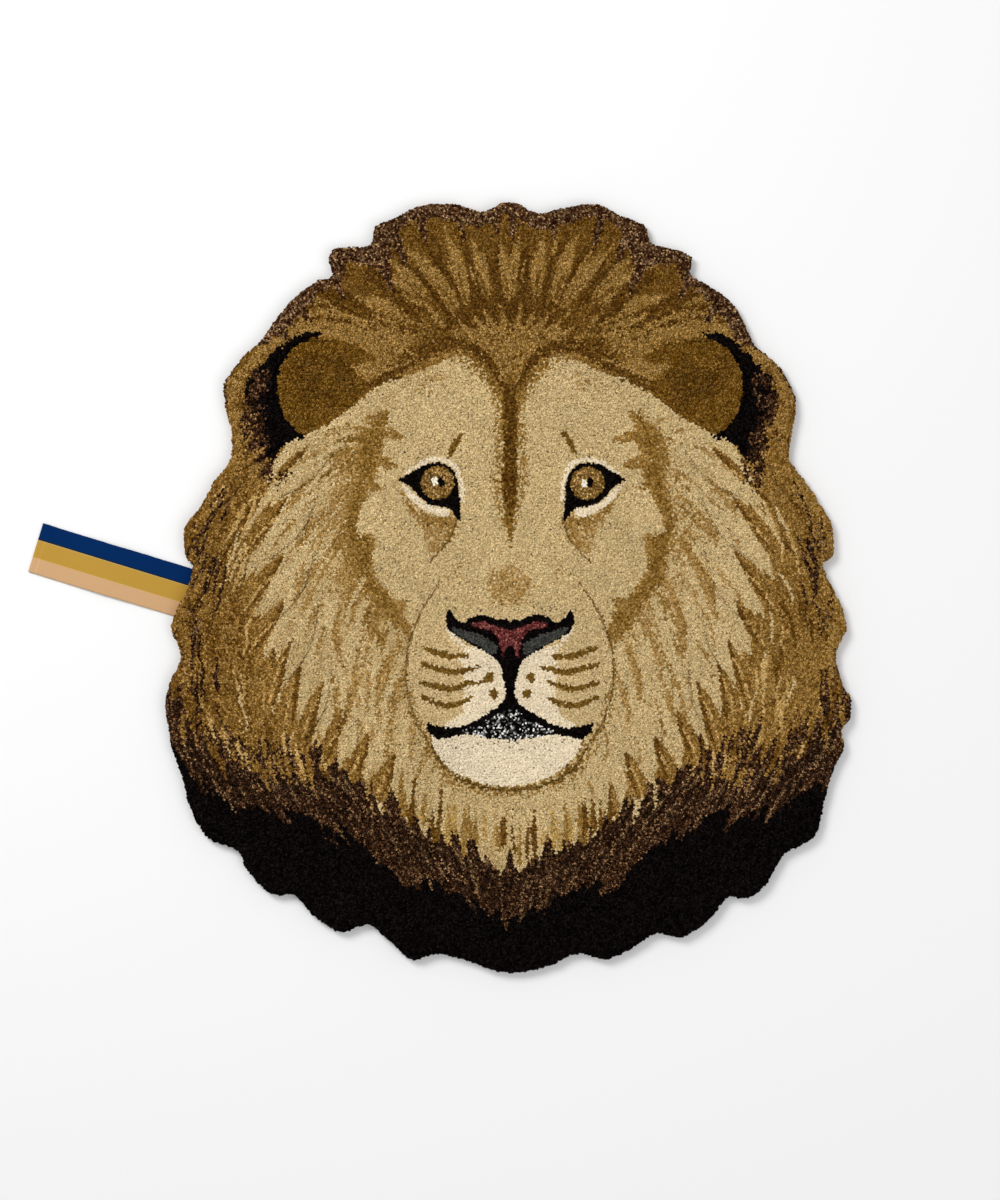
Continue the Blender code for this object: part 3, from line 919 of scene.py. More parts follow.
def draw_eyes(d):
    d.area("cheek_dark", UNDER_EYE, 2.0, 0, 0.8)
    d.band("shade", ((58, 66), (72, 66), (92, 74), (108, 94)), (8, 10, 8, 3), 1.2, 0, 0.8)
    d.band("shade", ((58, 64), (61, 52), (70, 42)), (6, 8, 4), 1.2, 0, 0.6)
    for side, u, v, pupil_u, pupil_v, half_u, half_v, glint_u, glint_v in EYES:
        black, below_it, above = (
            [(side * (x + EYE_SHIFT[side]), y) for x, y in rows]
            for rows in (EYE_BLACK, LID_BELOW, LID_ABOVE)
        )
        d.band("cream", above, LID_WIDTHS, 0.6, mirror=False)
        d.area("cream", below_it, 0.2, mirror=False)
        d.area("black", black, 0.1, smooth=False, mirror=False)
        d.ellipse("iris", (side * u, v), IRIS, 0.15, mirror=False)
        from_middle = np.hypot(d.p[:, 0] - side * u, d.p[:, 1] - v)
        for yarn, out, half, share in IRIS_RINGS:
            d.paint(yarn, np.abs(from_middle - out) < half, share)
        d.ellipse("glint", (side * glint_u, glint_v), GLINT, 0.1, mirror=False)
        pupil = (side * pupil_u, pupil_v)
        d.ellipse("black", pupil, (half_u, half_v), 0.1, tilt=-12, mirror=False)


# ---- muzzle, mouth and nose

PAD = (
    (4, -100), (5, -84), (12, -72), (28, -62), (44, -57), (60, -42), (64, -40), (58, -52),
    (48, -62), (50, -76), (46, -94), (46, -112), (52, -128), (66, -137), (60, -141), (42, -138),
    (24, -128), (8, -116),
)
PAD_SIDE = (
    (47, -60), (56, -54), (70, -60), (80, -90), (78, -120), (66, -133), (52, -126), (45, -108),
    (46, -88), (50, -74),
)
WHISKERS = (  # line, widths
    (((43, -68), (62, -68), (86, -60)), (3.5, 6.4, 4.2)),
    (((31, -79), (58, -84), (88, -76)), (3, 6.4, 4.2)),
    (((38, -93), (60, -101), (88, -95)), (3, 6.4, 4.2)),
    (((38, -110), (62, -118), (87, -110)), (3, 6.4, 4.2)),
)
DOTS = ((21, -90, 4.6, 5.6, 15), (16.5, -106, 4.2, 5.2, -10))  # u, v, half sizes, tilt
LIPS = (
    (0, -112), (10, -117), (24, -126), (40, -136), (56, -140), (71, -139), (83, -134.5), (82, -144),
    (72, -151), (54, -148.5), (40, -145.5), (26, -140), (0, -124),
)
UNDER_LIP = ((0, -119), (14, -126), (32, -138), (48, -144), (30, -149), (14, -151), (0, -152.5))
NOSE = (
    (0, -35), (12, -31.5), (26, -26.5), (38, -29), (46, -34.5), (54, -31), (61, -22), (64.5, -34),
    (57, -46), (43, -54), (28, -62), (16, -70), (0, -76),
)
NOSTRIL = (
    (13, -58), (26, -48.5), (40, -44), (57, -39.5), (55, -46), (42, -53.5), (28, -60.5),
    (17, -67),
)
NOSE_TOP = (
    (0, -42), (14, -38), (26, -33), (37, -35), (39, -38.5), (28, -41), (18, -43), (12, -50),
    (10, -60), (7.5, -72), (5, -62), (2, -57), (0, -58),
)
PHILTRUM = ((0, -60), (16, -62), (9, -80), (5.5, -96), (5, -108), (9, -117), (0, -120))
CHIN = (-3, -146, 75.5, 52)  # middle u, v and half sizes
CHIN_TOP = -141
BROKEN_WHISKER = ((-46, -94), (-34, -96), (-22, -91))


def draw_muzzle(d):
    d.area("cream", PAD, 0.6)
    d.area("muzzle", PAD_SIDE, 3.5, 0, 0.85)
    for line, widths in WHISKERS:
        d.band("mark", line, widths, 0.7)
    for u, v, half_u, half_v, tilt in DOTS:
        d.ellipse("mark", (u, v), (half_u, half_v), 0.5, tilt=tilt)
    d.band("mark", BROKEN_WHISKER, (2, 3, 4.5), 0.3, mirror=False)
    q = d.at(0.25)
    middle_u, middle_v, half_u, half_v = CHIN
    chin = np.hypot((q[:, 0] - middle_u) / half_u, (q[:, 1] - middle_v) / half_v) < 1
    d.paint("cream", chin & (q[:, 1] < CHIN_TOP))
    d.area("black", LIPS, 0.25, smooth=False)
    d.area("lip", UNDER_LIP, 0.5, smooth=False)
    d.area("black", PHILTRUM, 0.2)
    d.area("black", NOSE, 0.2)
    d.area("nostril", NOSTRIL, 0.4)
    d.area("nose_red", NOSE_TOP, 0.3, smooth=False)


def draw(places, edge):
    """The yarn of each tuft. edge is how far in from the outline it stands."""
    d = Drawing(places)
    rng = np.random.default_rng(SEED + 2)
    draw_crown(d, rng)
    draw_beard(d, rng)
    draw_mane(d, rng)
    draw_cheeks(d, rng)
    draw_ears(d, rng)
    draw_rim(d, rng, edge)
    draw_face(d, rng)
    draw_eyes(d)
    draw_muzzle(d)
    return d.yarn


# ---- where the tufts stand

PILE_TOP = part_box("rug")[1][2] / MM
WIDEST = 6.8  # the height at which the rug's solid reaches furthest out
SPACING = {"fine": 1.8, "plain": 2.03, "coarse": 2.5}
STRAY = 0.15  # of the spacing, how far a tuft stands from its place in the rows
FINE_AREAS = (  # u and v of the middle, half sizes; for the right side
    (80, 98, 42, 36),
    (46, -88, 48, 68),
)
COARSE_BELOW = 22  # under the heather's lower edge
ROLL = 11.0  # how far in from the outline the pile starts to round over
ROLL_DROP = 8.0
ROLL_LEAN = 1.1
UNEVEN = 0.28  # how far tips stand above or below each other
RIM_ROWS = (  # height and inset of the rows of tips on the rim's side
    (1.6, 3.2),
    (3.7, 1.4),
    (5.8, 0.7),
)
RIM_SPACING = 2.3
RIM_LEAN = 2.6
RIM_UNEVEN = 0.55  # how far the rim's tips stand out past each other
RIM_CLUMPS = ((7.3, 0.55), (17.0, 0.45))  # millimetres along the rim, share of that
RIM_STEP = 2  # millimetres either way that its outward way is taken over
SWAY = 0.10  # slow changes in the pile's lean
TILT = 0.09  # how unevenly single tufts lean

# Grooves clipped into the pile, as in the rug's solid
GROOVE_DEPTH = 2.4
GROOVE_WIDTH = 1.4
CHEEK_GROOVES = (  # tip u, v, length, degrees below the level
    (230, 90, 70, 40),
    (240, 28, 78, 52),
    (236, -36, 82, 60),
    (224, -96, 78, 66),
    (204, -152, 74, 70),
    (168, -196, 66, 76),
)
CHEEK_GROOVE_BEND = 0.10
EAR_GROOVE = ((176, 246), (212, 244), (235, 214), (232, 180), (208, 148))
MANE_GROOVES = (66, 76, 86, 94, 102, 113, 122)  # degrees from the crown
MANE_GROOVE_IN = 16  # where it starts, inside the outline
MANE_GROOVE_LENGTH = 56
MANE_GROOVE_LEAN = 52  # degrees that it leans back towards the crown


def groove_lines(ring):
    lines = [smooth_line(line) for line in (*CLIPPED, EAR_GROOVE)]
    for u, v, length, degrees in CHEEK_GROOVES:
        turn = math.radians(degrees)
        back = np.array([-math.cos(turn), math.sin(turn)]) * length
        below_it = np.array([-math.sin(turn), -math.cos(turn)]) * length * CHEEK_GROOVE_BEND
        tip = np.array([u, v])
        lines.append(smooth_line((tip, tip + back / 2 + below_it, tip + back)))
    around = np.degrees(np.arctan2(ring[:, 0], ring[:, 1]))
    order = np.argsort(around)
    lean = math.radians(MANE_GROOVE_LEAN)
    for degrees in MANE_GROOVES:
        out = direction(degrees)
        back = np.array([-out[1], out[0]])
        reach = np.interp(degrees, around[order], np.hypot(*ring[order].T))
        inward = -out * math.cos(lean) + back * math.sin(lean)
        first = out * (reach - MANE_GROOVE_IN)
        middle = first + inward * MANE_GROOVE_LENGTH / 2
        last = middle + (inward + back) * MANE_GROOVE_LENGTH / 4
        lines.append(smooth_line((first, middle, last)))
    return lines


def line_distance(q, line, reach, closed=False):
    """How far each place lies from the line, up to reach, and the way to it."""
    far = np.full(len(q), float(reach))
    toward = np.zeros((len(q), 2))
    ends = np.roll(line, -1, 0) if closed else line[1:]
    for a, b in zip(line, ends):
        few = within(q, np.minimum(a, b) - reach, np.maximum(a, b) + reach)
        _, off = to_line(q[few], a, b)
        dist = np.hypot(*off.T)
        nearer = dist < far[few]
        far[few[nearer]] = dist[nearer]
        toward[few[nearer]] = off[nearer] / np.maximum(dist[nearer], 1e-6)[:, None]
    return far, toward


def cad_outline():
    """The rug's outline, anticlockwise, from the widest ring of its solid."""
    co = np.array([v.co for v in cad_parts["rug"].data.vertices]) / MM
    ring = np.unique(np.round(co[np.abs(co[:, 2] - WIDEST) < 0.05][:, :2], 2), axis=0)
    return ring[np.argsort(np.arctan2(ring[:, 1], ring[:, 0]))]


def spacing_of(p):
    """The name of the spacing that each place has. Where it changes, the line wanders."""
    u = np.abs(p[:, 0]) + 3 * np.sin(p[:, 1] * 0.9)
    v = p[:, 1] + 3 * np.sin(p[:, 0] * 0.8) + 1.5 * np.sin(p[:, 0] * 2.3)
    fine = np.zeros(len(p), bool)
    for middle_u, middle_v, half_u, half_v in FINE_AREAS:
        fine |= (np.abs(u - middle_u) < half_u) & (np.abs(v - middle_v) < half_v)
    low = v < np.interp(u, *BLACK_EDGE) - COARSE_BELOW
    return np.where(fine, "fine", np.where(low, "coarse", "plain"))


def top_places(ring, rng):
    """Places of the tips on the pile's top, in staggered rows, and their spacing."""
    places, gaps = [], []
    for name, gap in SPACING.items():
        low, high = ring.min(0), ring.max(0)
        rows = np.arange(low[1], high[1], gap * math.sqrt(3) / 2)
        x, y = np.meshgrid(np.arange(low[0], high[0], gap), rows)
        x[1::2] += gap / 2
        p = np.stack([x.ravel(), y.ravel()], 1)
        p += rng.normal(size=p.shape) * gap * STRAY
        p = p[spacing_of(p) == name]
        p = p[inside(p, ring)]
        places.append(p)
        gaps.append(np.full(len(p), gap))
    return np.concatenate(places), np.concatenate(gaps)


def rim_places(ring, rng):
    """Place, height and outward way of the tips on the rim's side."""
    closed = np.vstack([ring, ring[:1]])
    run = np.concatenate([[0], np.cumsum(np.hypot(*np.diff(closed, axis=0).T))])

    def on_outline(at):
        return np.stack([np.interp(at % run[-1], run, closed[:, k]) for k in (0, 1)], 1)

    rows = []
    for k, (height, inset) in enumerate(RIM_ROWS):
        at = np.arange(0, run[-1] - RIM_SPACING / 2, RIM_SPACING) + (k % 2) * RIM_SPACING / 2
        at += rng.normal(size=len(at)) * RIM_SPACING * STRAY
        out = to_right(on_outline(at + RIM_STEP) - on_outline(at - RIM_STEP))
        waves = (share * np.sin(2 * math.pi * at / length + k) for length, share in RIM_CLUMPS)
        stand_out = RIM_UNEVEN * (sum(waves) + rng.normal(size=len(at)) * 0.6) - inset
        rows.append((on_outline(at) + out * stand_out[:, None], np.full(len(at), height), out))
    return [np.concatenate(part) for part in zip(*rows)]


# ---- meshes

TUFT_SIDES = 4
TUFT_WIDE = 0.85  # of the spacing, the half width of a tuft: neighbours press together
TUFT_TIP = 0.6  # how high its tip stands above its shoulder
TUFT_DEEP = 4.5  # how far it is modelled down into the pile
CORNER_TURN, CORNER_REACH = 0.12, 0.10  # how far its corners stray, radians and share
CORNER_FALL, CORNER_RISE = 0.10, 0.14  # how far they stand under the tip's foot, and stray
RIM_DEEP = 9.0
# painted shade and light in each tuft's colour: darker at its foot and a little at its shoulders, a
# little lighter at its tip
PAINTED_SHADE_FOOT, PAINTED_SHADE_SHOULDER, PAINTED_LIGHT_TIP = 0.68, 0.95, 1.04
SHADE_THROUGH = 0.3  # lighter yarn lets more light down to its foot
FLOOR_CLEAR = 0.3  # nothing of a tuft lies lower
MAP_RING, MAP_FOOT = 0.27, 0.49  # of a tuft's cell on the tufts' UV map


def linear(srgb):
    share = np.asarray(srgb, float) / 255
    return np.where(share <= 0.04045, share / 12.92, ((share + 0.055) / 1.055) ** 2.4)


def add_mesh(name, verts, faces, *materials):
    """An object of triangles or of quads. verts in millimetres."""
    faces = np.asarray(faces, np.int32)
    mesh = bpy.data.meshes.new(name)
    mesh.vertices.add(len(verts))
    mesh.vertices.foreach_set("co", (np.asarray(verts) * MM).astype(np.float32).ravel())
    mesh.loops.add(faces.size)
    mesh.loops.foreach_set("vertex_index", faces.ravel())
    mesh.polygons.add(len(faces))
    starts = np.arange(0, faces.size, faces.shape[1], dtype=np.int32)
    mesh.polygons.foreach_set("loop_start", starts)
    mesh.polygons.foreach_set("use_smooth", np.ones(len(faces), bool))
    mesh.update(calc_edges=True)
    for material in materials:
        mesh.materials.append(material)
    obj = bpy.data.objects.new(name, mesh)
    bpy.context.scene.collection.objects.link(obj)
    return obj


def add_colours(obj, colours):
    """Colours whose fourth value tells how strongly the fibres are flecked."""
    layer = obj.data.color_attributes.new("yarn", "FLOAT_COLOR", "POINT")
    layer.data.foreach_set("color", colours.astype(np.float32).ravel())


def add_tuft_map(obj, count):
    """A UV map, named for baking, on which each tuft has a cell of its own, its tip in the middle.
    """
    cells = math.ceil(math.sqrt(count))
    cell = np.arange(count)
    middle = np.stack([cell % cells + 0.5, cell // cells + 0.5], 1)
    corner = 2 * math.pi * (np.arange(TUFT_SIDES) + 0.5) / TUFT_SIDES
    after = corner + 2 * math.pi / TUFT_SIDES
    midway = corner + math.pi / TUFT_SIDES

    def spot(angle, reach):
        return np.stack([np.cos(angle), np.sin(angle)], 1) * reach

    here, there = spot(corner, MAP_RING), spot(after, MAP_RING)
    tops = np.stack([here, there, np.zeros_like(here)], 1)
    sides = np.stack([there, here, spot(midway, MAP_FOOT)], 1)
    one = np.concatenate([tops, sides]).reshape(-1, 2)
    uv = (middle[:, None] + one[None]) / cells
    layer = obj.data.uv_layers.new(name="OFBake")
    layer.data.foreach_set("uv", uv.astype(np.float32).ravel())


def add_tufts(name, tufts, rng, material):
    """Tufts of cut yarn, each a foot, a ring of shoulder corners and a low tip."""
    tip, axis, deep, wide, colour = tufts
    count = len(tip)
    side = np.cross(axis, [0.001, 0, 1.0])
    side /= np.linalg.norm(side, axis=1)[:, None]
    other = np.cross(axis, side)
    turn = rng.uniform(0, 2 * math.pi, count)
    verts = np.empty((count, TUFT_SIDES + 2, 3))
    verts[:, 0] = tip - axis * deep[:, None]
    for k in range(TUFT_SIDES):
        angle = turn + 2 * math.pi * k / TUFT_SIDES + rng.normal(size=count) * CORNER_TURN
        reach = wide * (1 + rng.normal(size=count) * CORNER_REACH)
        rise = rng.normal(size=count) * CORNER_RISE - CORNER_FALL
        verts[:, 1 + k] = tip + side * (np.cos(angle) * reach)[:, None]
        verts[:, 1 + k] += other * (np.sin(angle) * reach)[:, None] + axis * rise[:, None]
    verts[:, -1] = tip + axis * TUFT_TIP
    verts[..., 2] = np.maximum(verts[..., 2], FLOOR_CLEAR)
    ring = np.arange(TUFT_SIDES)
    after = (ring + 1) % TUFT_SIDES
    tops = np.stack([1 + ring, 1 + after, np.full(TUFT_SIDES, TUFT_SIDES + 1)], 1)
    sides = np.stack([1 + after, 1 + ring, np.zeros(TUFT_SIDES, int)], 1)
    one = np.concatenate([tops, sides])
    starts = np.arange(count) * (TUFT_SIDES + 2)
    faces = (one[None] + starts[:, None, None]).reshape(-1, 3)
    obj = add_mesh(name, verts.reshape(-1, 3), faces, material)
    # painted shade down to each tuft's foot and at its shoulders, painted light at its tip
    shade = np.full((count, TUFT_SIDES + 2, 4), PAINTED_SHADE_SHOULDER)
    shade[:, 0] = (PAINTED_SHADE_FOOT + SHADE_THROUGH * colour[:, :3].mean(1))[:, None]
    shade[:, -1] = PAINTED_LIGHT_TIP
    shade[..., 3] = 1
    add_colours(obj, (colour[:, None] * shade).reshape(-1, 4))
    add_tuft_map(obj, count)
    return obj


# ---- pile and backing

HALVES = (("right", 1), ("left", -1))
LEVELS = ("lower", "middle", "upper")
MOTTLE = 0.05  # how far slow changes of dye lighten or darken the yarn
PILE_GAIN = 1.22  # the pile shades itself, so its yarns are this much lighter than it looks
LIGHTEST = 0.92
EDGE_REACH = 45  # how far in the way from the outline is measured
RIM_EDGE = 0.5  # how far in the rim's own tufts are counted
LEAN_REACH = 9  # how far in the rim's lean carries
LEAST_UPRIGHT = 0.2  # how far over the level even the flattest tuft counts as standing
FOOT_CLEAR = 1.4  # how far over the floor a tuft's foot stays
LEAST_DEEP = 1.2  # but every tuft has at least this much height
TIPS_NEAR = 6  # how many tips share in the colour of the cloth beneath them


def yarn_colours(yarn, p, rng):
    dark, light = (np.array([YARNS[name][k] for name in NAMES])[yarn] for k in (0, 1))
    fleck = np.array([YARNS[name][2] for name in NAMES])[yarn]
    share = rng.beta(1.2, 1.2, len(p))
    for name, spread_of in SPECKLED.items():
        few = yarn == NAMES.index(name)
        share[few] = rng.beta(*spread_of, few.sum())
    u, v = p.T
    slow = np.sin(u * 0.05 + 2 * np.sin(v * 0.031)) * np.sin(v * 0.06 + u * 0.017)
    colour = linear(dark + (light - dark) * share[:, None]) * PILE_GAIN
    colour = np.minimum(colour * (1 + MOTTLE * slow)[:, None], LIGHTEST)
    return np.column_stack([colour, fleck])


def add_pile(ring, material):
    """The pile's pieces, and the place and colour of every tip."""
    rng = np.random.default_rng(SEED)
    top, gap = top_places(ring, rng)
    edge, toward = line_distance(top, ring, EDGE_REACH, closed=True)
    side, side_height, out = rim_places(ring, rng)
    p = np.concatenate([top, side])
    gap = np.concatenate([gap, np.full(len(side), RIM_SPACING)])
    edge = np.concatenate([edge, np.full(len(side), RIM_EDGE)])
    colour = yarn_colours(draw(p, edge), p, rng)
    # heights: level, rounded over at the rim, clipped along the grooves
    round_off = ROLL_DROP * (1 - np.sqrt(1 - (1 - np.clip(edge / ROLL, 0, 1)) ** 2))
    height = PILE_TOP - TUFT_TIP - round_off
    height[len(top):] = side_height
    mirrored_p = np.stack([np.abs(p[:, 0]), p[:, 1]], 1)
    for line in groove_lines(ring):
        far, _ = line_distance(mirrored_p, line, 3 * GROOVE_WIDTH)
        height -= GROOVE_DEPTH * np.exp(-((far / GROOVE_WIDTH) ** 2))
    height += rng.normal(size=len(p)) * UNEVEN
    height = np.maximum(height, RIM_ROWS[0][0])
    # leans: outwards at the rim, with slow changes, and a little by chance
    near_rim = ROLL_LEAN * np.clip(1 - edge[: len(top)] / LEAN_REACH, 0, 1)
    lean = np.concatenate([toward * near_rim[:, None], out * RIM_LEAN])
    u, v = p.T
    sway_u = np.sin(u * 0.031 + 1.7 * np.sin(v * 0.023))
    sway_v = np.cos(v * 0.027 + 1.3 * np.sin(u * 0.019))
    lean += np.stack([sway_u, sway_v], 1) * SWAY + rng.normal(size=p.shape) * TILT
    axis = np.concatenate([lean, np.ones((len(p), 1))], 1)
    axis /= np.linalg.norm(axis, axis=1)[:, None]
    upright = np.maximum(axis[:, 2], LEAST_UPRIGHT)
    room = np.maximum(height - FOOT_CLEAR, LEAST_DEEP) / upright
    deep = np.minimum(np.where(edge < ROLL, RIM_DEEP, TUFT_DEEP), room)
    tip = np.concatenate([p, height[:, None]], 1)
    pieces = []
    for half, sign in HALVES:
        on_half = (u > 0) == (sign > 0)
        level = np.digitize(v, np.quantile(v[on_half], (1 / 3, 2 / 3)))
        for k, name in enumerate(LEVELS):
            few = on_half & (level == k)
            tufts = [part[few] for part in (tip, axis, deep, gap * TUFT_WIDE, colour)]
            pieces.append(add_tufts(f"pile_{name}_{half}", tufts, rng, material))
    return pieces, tip, colour


BACKING = (  # height, and how far in from the pile's outline: the cloth and the pile's foot
    (0.0, 5.2),
    (0.9, 4.6),
    (2.2, 4.2),
    (3.4, 5.6),
    (8.6, 9.5),
    (11.0, 13.5),
)
CLOTH_RINGS = 4  # the first of them are cloth
INNER_RINGS = 30
UNDER_RINGS = 3
# painted shade: the backing under the pile is darker than the tips above it
FOOT_PAINTED_SHADE = 0.72
NORMAL_REACH = 3  # points either way that its inward direction is taken over


def drawn_in(ring, inset):
    """The outline, drawn in square to itself."""
    along = np.roll(ring, -NORMAL_REACH, 0) - np.roll(ring, NORMAL_REACH, 0)
    return ring - to_right(along) * inset


def add_backing(ring, tips, colours, pile_material, cloth):
    count = len(ring)
    rings = [(drawn_in(ring, inset), height) for height, inset in BACKING]
    last, top = rings[-1]
    rings += [(last * (1 - k / INNER_RINGS), top) for k in range(1, INNER_RINGS)]
    bottom = rings[0][0]
    rings = [(bottom * k / UNDER_RINGS, 0.0) for k in range(1, UNDER_RINGS)] + rings
    verts = [np.column_stack([xy, np.full(count, z)]) for xy, z in rings]
    verts = np.concatenate(verts + [[[0, 0, 0]], [[0, 0, top]]])
    here = np.arange(count)
    after = (here + 1) % count
    faces, cloth_faces = [], 0
    for k in range(len(rings) - 1):
        low, high = k * count, (k + 1) * count
        faces += [np.stack([low + here, low + after, high + after], 1)]
        faces += [np.stack([low + here, high + after, high + here], 1)]
        if k < UNDER_RINGS - 2 + CLOTH_RINGS:
            cloth_faces += 2 * count
    end = (len(rings) - 1) * count
    faces += [np.stack([after, here, np.full(count, len(verts) - 2)], 1)]
    faces += [np.stack([end + here, end + after, np.full(count, len(verts) - 1)], 1)]
    obj = add_mesh("backing", verts, np.concatenate(faces), pile_material, cloth)
    kind = np.zeros(len(obj.data.polygons), np.int32)
    kind[:cloth_faces] = 1
    kind[-2 * count: -count] = 1
    obj.data.polygons.foreach_set("material_index", kind)
    tree = kdtree.KDTree(len(tips))
    for k, (u, v, _) in enumerate(tips):
        tree.insert((u, v, 0), k)
    tree.balance()
    painted_shade_tint = np.empty((len(verts), 4))
    for k, (u, v, _) in enumerate(verts):
        few = [found for _, found, _ in tree.find_n((u, v, 0), TIPS_NEAR)]
        painted_shade_tint[k] = colours[few].mean(0)
    # painted shade between the tufts
    painted_shade_tint[:, :3] *= FOOT_PAINTED_SHADE
    add_colours(obj, painted_shade_tint)
    return obj


# ---- ribbon, as in its solid

RIBBON_WIDTH = 51.0
RIBBON_THICK = 0.8
RIBBON_SPACE = 1.0  # the thickness that its solid allows for each layer
RIBBON_OUT = 160.0
RIBBON_ROOT = 26.0
RIBBON_HEM = 9.0
RIBBON_WAVE = 2.0
RIBBON_HEM_RISE = 0.75
RIBBON_EDGE = (-323.5, -6.0)
RIBBON_DIRECTION = 163  # degrees from +X
RIBBON_ALONG, RIBBON_ACROSS = 90, 34  # steps
SEAT_CLEAR = 0.3
SEAT_SIDE = 0.6
SEAT_PAST_RIM = 12.0
RIBBON_WAVER = 0.35  # how far its edges wander
RIBBON_SAG = 0.10
RIBBON_SAG_AT, RIBBON_SAG_REACH = 90, 60  # along it


def ribbon_lift(x):
    """How high the underside of the ribbon's upper layer lies, x out from the rug."""
    hem_start = RIBBON_OUT - RIBBON_HEM
    if x <= 0:
        return 0.0
    share = min(x / hem_start, 1.0)
    over_hem = max(0.0, (share - RIBBON_HEM_RISE) / (1 - RIBBON_HEM_RISE))
    return RIBBON_WAVE * math.sin(math.pi * share) ** 2 + RIBBON_SPACE * over_hem**2


def ribbon_path():
    """Points x, z down the ribbon's middle: out to its end, round the fold and back."""
    fold = RIBBON_SPACE / 2
    turn_at = RIBBON_OUT - fold - RIBBON_THICK / 2
    out = [(x, ribbon_lift(x) + fold) for x in np.linspace(-RIBBON_ROOT, turn_at, RIBBON_ALONG)]
    bend = [
        (turn_at + fold * math.sin(a), RIBBON_SPACE + fold * math.cos(a))
        for a in np.linspace(0, math.pi, 7)[1:-1]
    ]
    back = [(x, fold) for x in np.linspace(turn_at, RIBBON_OUT - RIBBON_HEM, 6)]
    return np.array(out + bend + back)


def to_rug(x, y, z):
    """From the ribbon's own x (outwards) and y to the rug's frame."""
    c, s = math.cos(math.radians(RIBBON_DIRECTION)), math.sin(math.radians(RIBBON_DIRECTION))
    return np.stack([RIBBON_EDGE[0] + x * c - y * s, RIBBON_EDGE[1] + x * s + y * c, z], -1)


def ribbon_layer(path, run, sign, waver):
    """One face of the ribbon. Past the fold it neither sags nor wavers."""
    across = np.linspace(-1, 1, RIBBON_ACROSS + 1)
    upper = (np.arange(len(path)) < RIBBON_ALONG)[:, None]
    layer = path - to_right(np.gradient(path, axis=0)) * sign * RIBBON_THICK / 2
    x = np.repeat(layer[:, :1], len(across), 1)
    y = across * RIBBON_WIDTH / 2 + upper * waver[:, None] * across**2
    sagging = upper & (np.abs(run - RIBBON_SAG_AT) < RIBBON_SAG_REACH)[:, None]
    z = layer[:, 1:] + RIBBON_SAG * sagging * np.cos(across * math.pi / 2)
    return to_rug(x, y, z).reshape(-1, 3)


def add_ribbon(material):
    rng = np.random.default_rng(SEED + 3)
    path = ribbon_path()
    run = np.concatenate([[0], np.cumsum(np.hypot(*np.diff(path, axis=0).T))])
    waver = np.convolve(rng.normal(size=len(path) + 8), np.ones(9) / 9, "valid") * RIBBON_WAVER
    verts = np.concatenate([ribbon_layer(path, run, sign, waver) for sign in (1, -1)])
    rows, cols = len(path), RIBBON_ACROSS + 1
    index = np.arange(rows * cols).reshape(rows, cols)
    a, b, c, e = index[:-1, :-1], index[1:, :-1], index[1:, 1:], index[:-1, 1:]
    upper = np.stack([a, e, c, b], -1).reshape(-1, 4)
    lower = np.stack([a, b, c, e], -1).reshape(-1, 4) + rows * cols
    loop = np.concatenate([index[0, :-1], index[:-1, -1], index[-1, :0:-1], index[:0:-1, 0]])
    onward = np.roll(loop, -1)
    rim = np.stack([onward, loop, loop + rows * cols, onward + rows * cols], 1)
    # the path runs outwards and y to its left, so the faces are turned to point out
    obj = add_mesh("ribbon_band", verts, np.concatenate([upper, lower, rim])[:, ::-1], material)
    across = np.linspace(-1, 1, cols) * RIBBON_WIDTH / 2
    place = np.stack([np.repeat(run, cols), np.tile(across, rows), np.zeros(rows * cols)], 1)
    layer = obj.data.attributes.new("weave", "FLOAT_VECTOR", "POINT")
    layer.data.foreach_set("vector", np.tile(place, (2, 1)).astype(np.float32).ravel())
    return obj, float(run[-1])


def cut_ribbon_seat(backing):
    """The space in the backing where the ribbon's root is sewn in."""
    length = RIBBON_ROOT + SEAT_SIDE + SEAT_PAST_RIM
    half_width = RIBBON_WIDTH / 2 + SEAT_SIDE
    height = RIBBON_SPACE + SEAT_CLEAR
    x = np.array([-length + SEAT_PAST_RIM, SEAT_PAST_RIM])
    corners = [(x[i], half_width * j, height * k) for i in (0, 1) for j in (-1, 1) for k in (-1, 1)]
    verts = [to_rug(*corner) for corner in corners]
    faces = [(0, 1, 3, 2), (4, 6, 7, 5), (0, 4, 5, 1), (2, 3, 7, 6), (0, 2, 6, 4), (1, 5, 7, 3)]
    cutter = add_mesh("seat_cutter", verts, faces)
    modifier = backing.modifiers.new("seat", "BOOLEAN")
    modifier.operation = "DIFFERENCE"
    modifier.object = cutter
    graph = bpy.context.evaluated_depsgraph_get()
    mesh = bpy.data.meshes.new_from_object(backing.evaluated_get(graph))
    backing.modifiers.clear()
    backing.data = mesh
    bpy.data.objects.remove(cutter)


# ---- materials

BANDS = (  # where each starts across the ribbon, mm; colour, sRGB
    (-25.5, (0, 44, 98)),
    (-9.5, (20, 36, 50)),
    (-8.3, (206, 178, 118)),
    (-7.6, (201, 157, 66)),
    (9.7, (226, 182, 112)),
    (10.4, (222, 178, 131)),
)
THREAD_LIGHTER = 0.3  # how much lighter the hem's thread is than the band it crosses
STITCH_IN = 7.2  # from the ribbon's end to the stitches that hold its hem
STITCH_PITCH = 2.6
STITCH_HALF = 0.35  # half its width
STITCH_FROM = 0.35  # how far up the wave along the hem it starts
CANVAS = (  # the backing cloth's colour deep in its weave and on top, linear: painted shade in the weave's hollows
    (0, (0.30, 0.24, 0.16)),
    (1, (0.62, 0.53, 0.40)),
)
FIBRES, FLECKS = 1500, 860  # noise to the metre


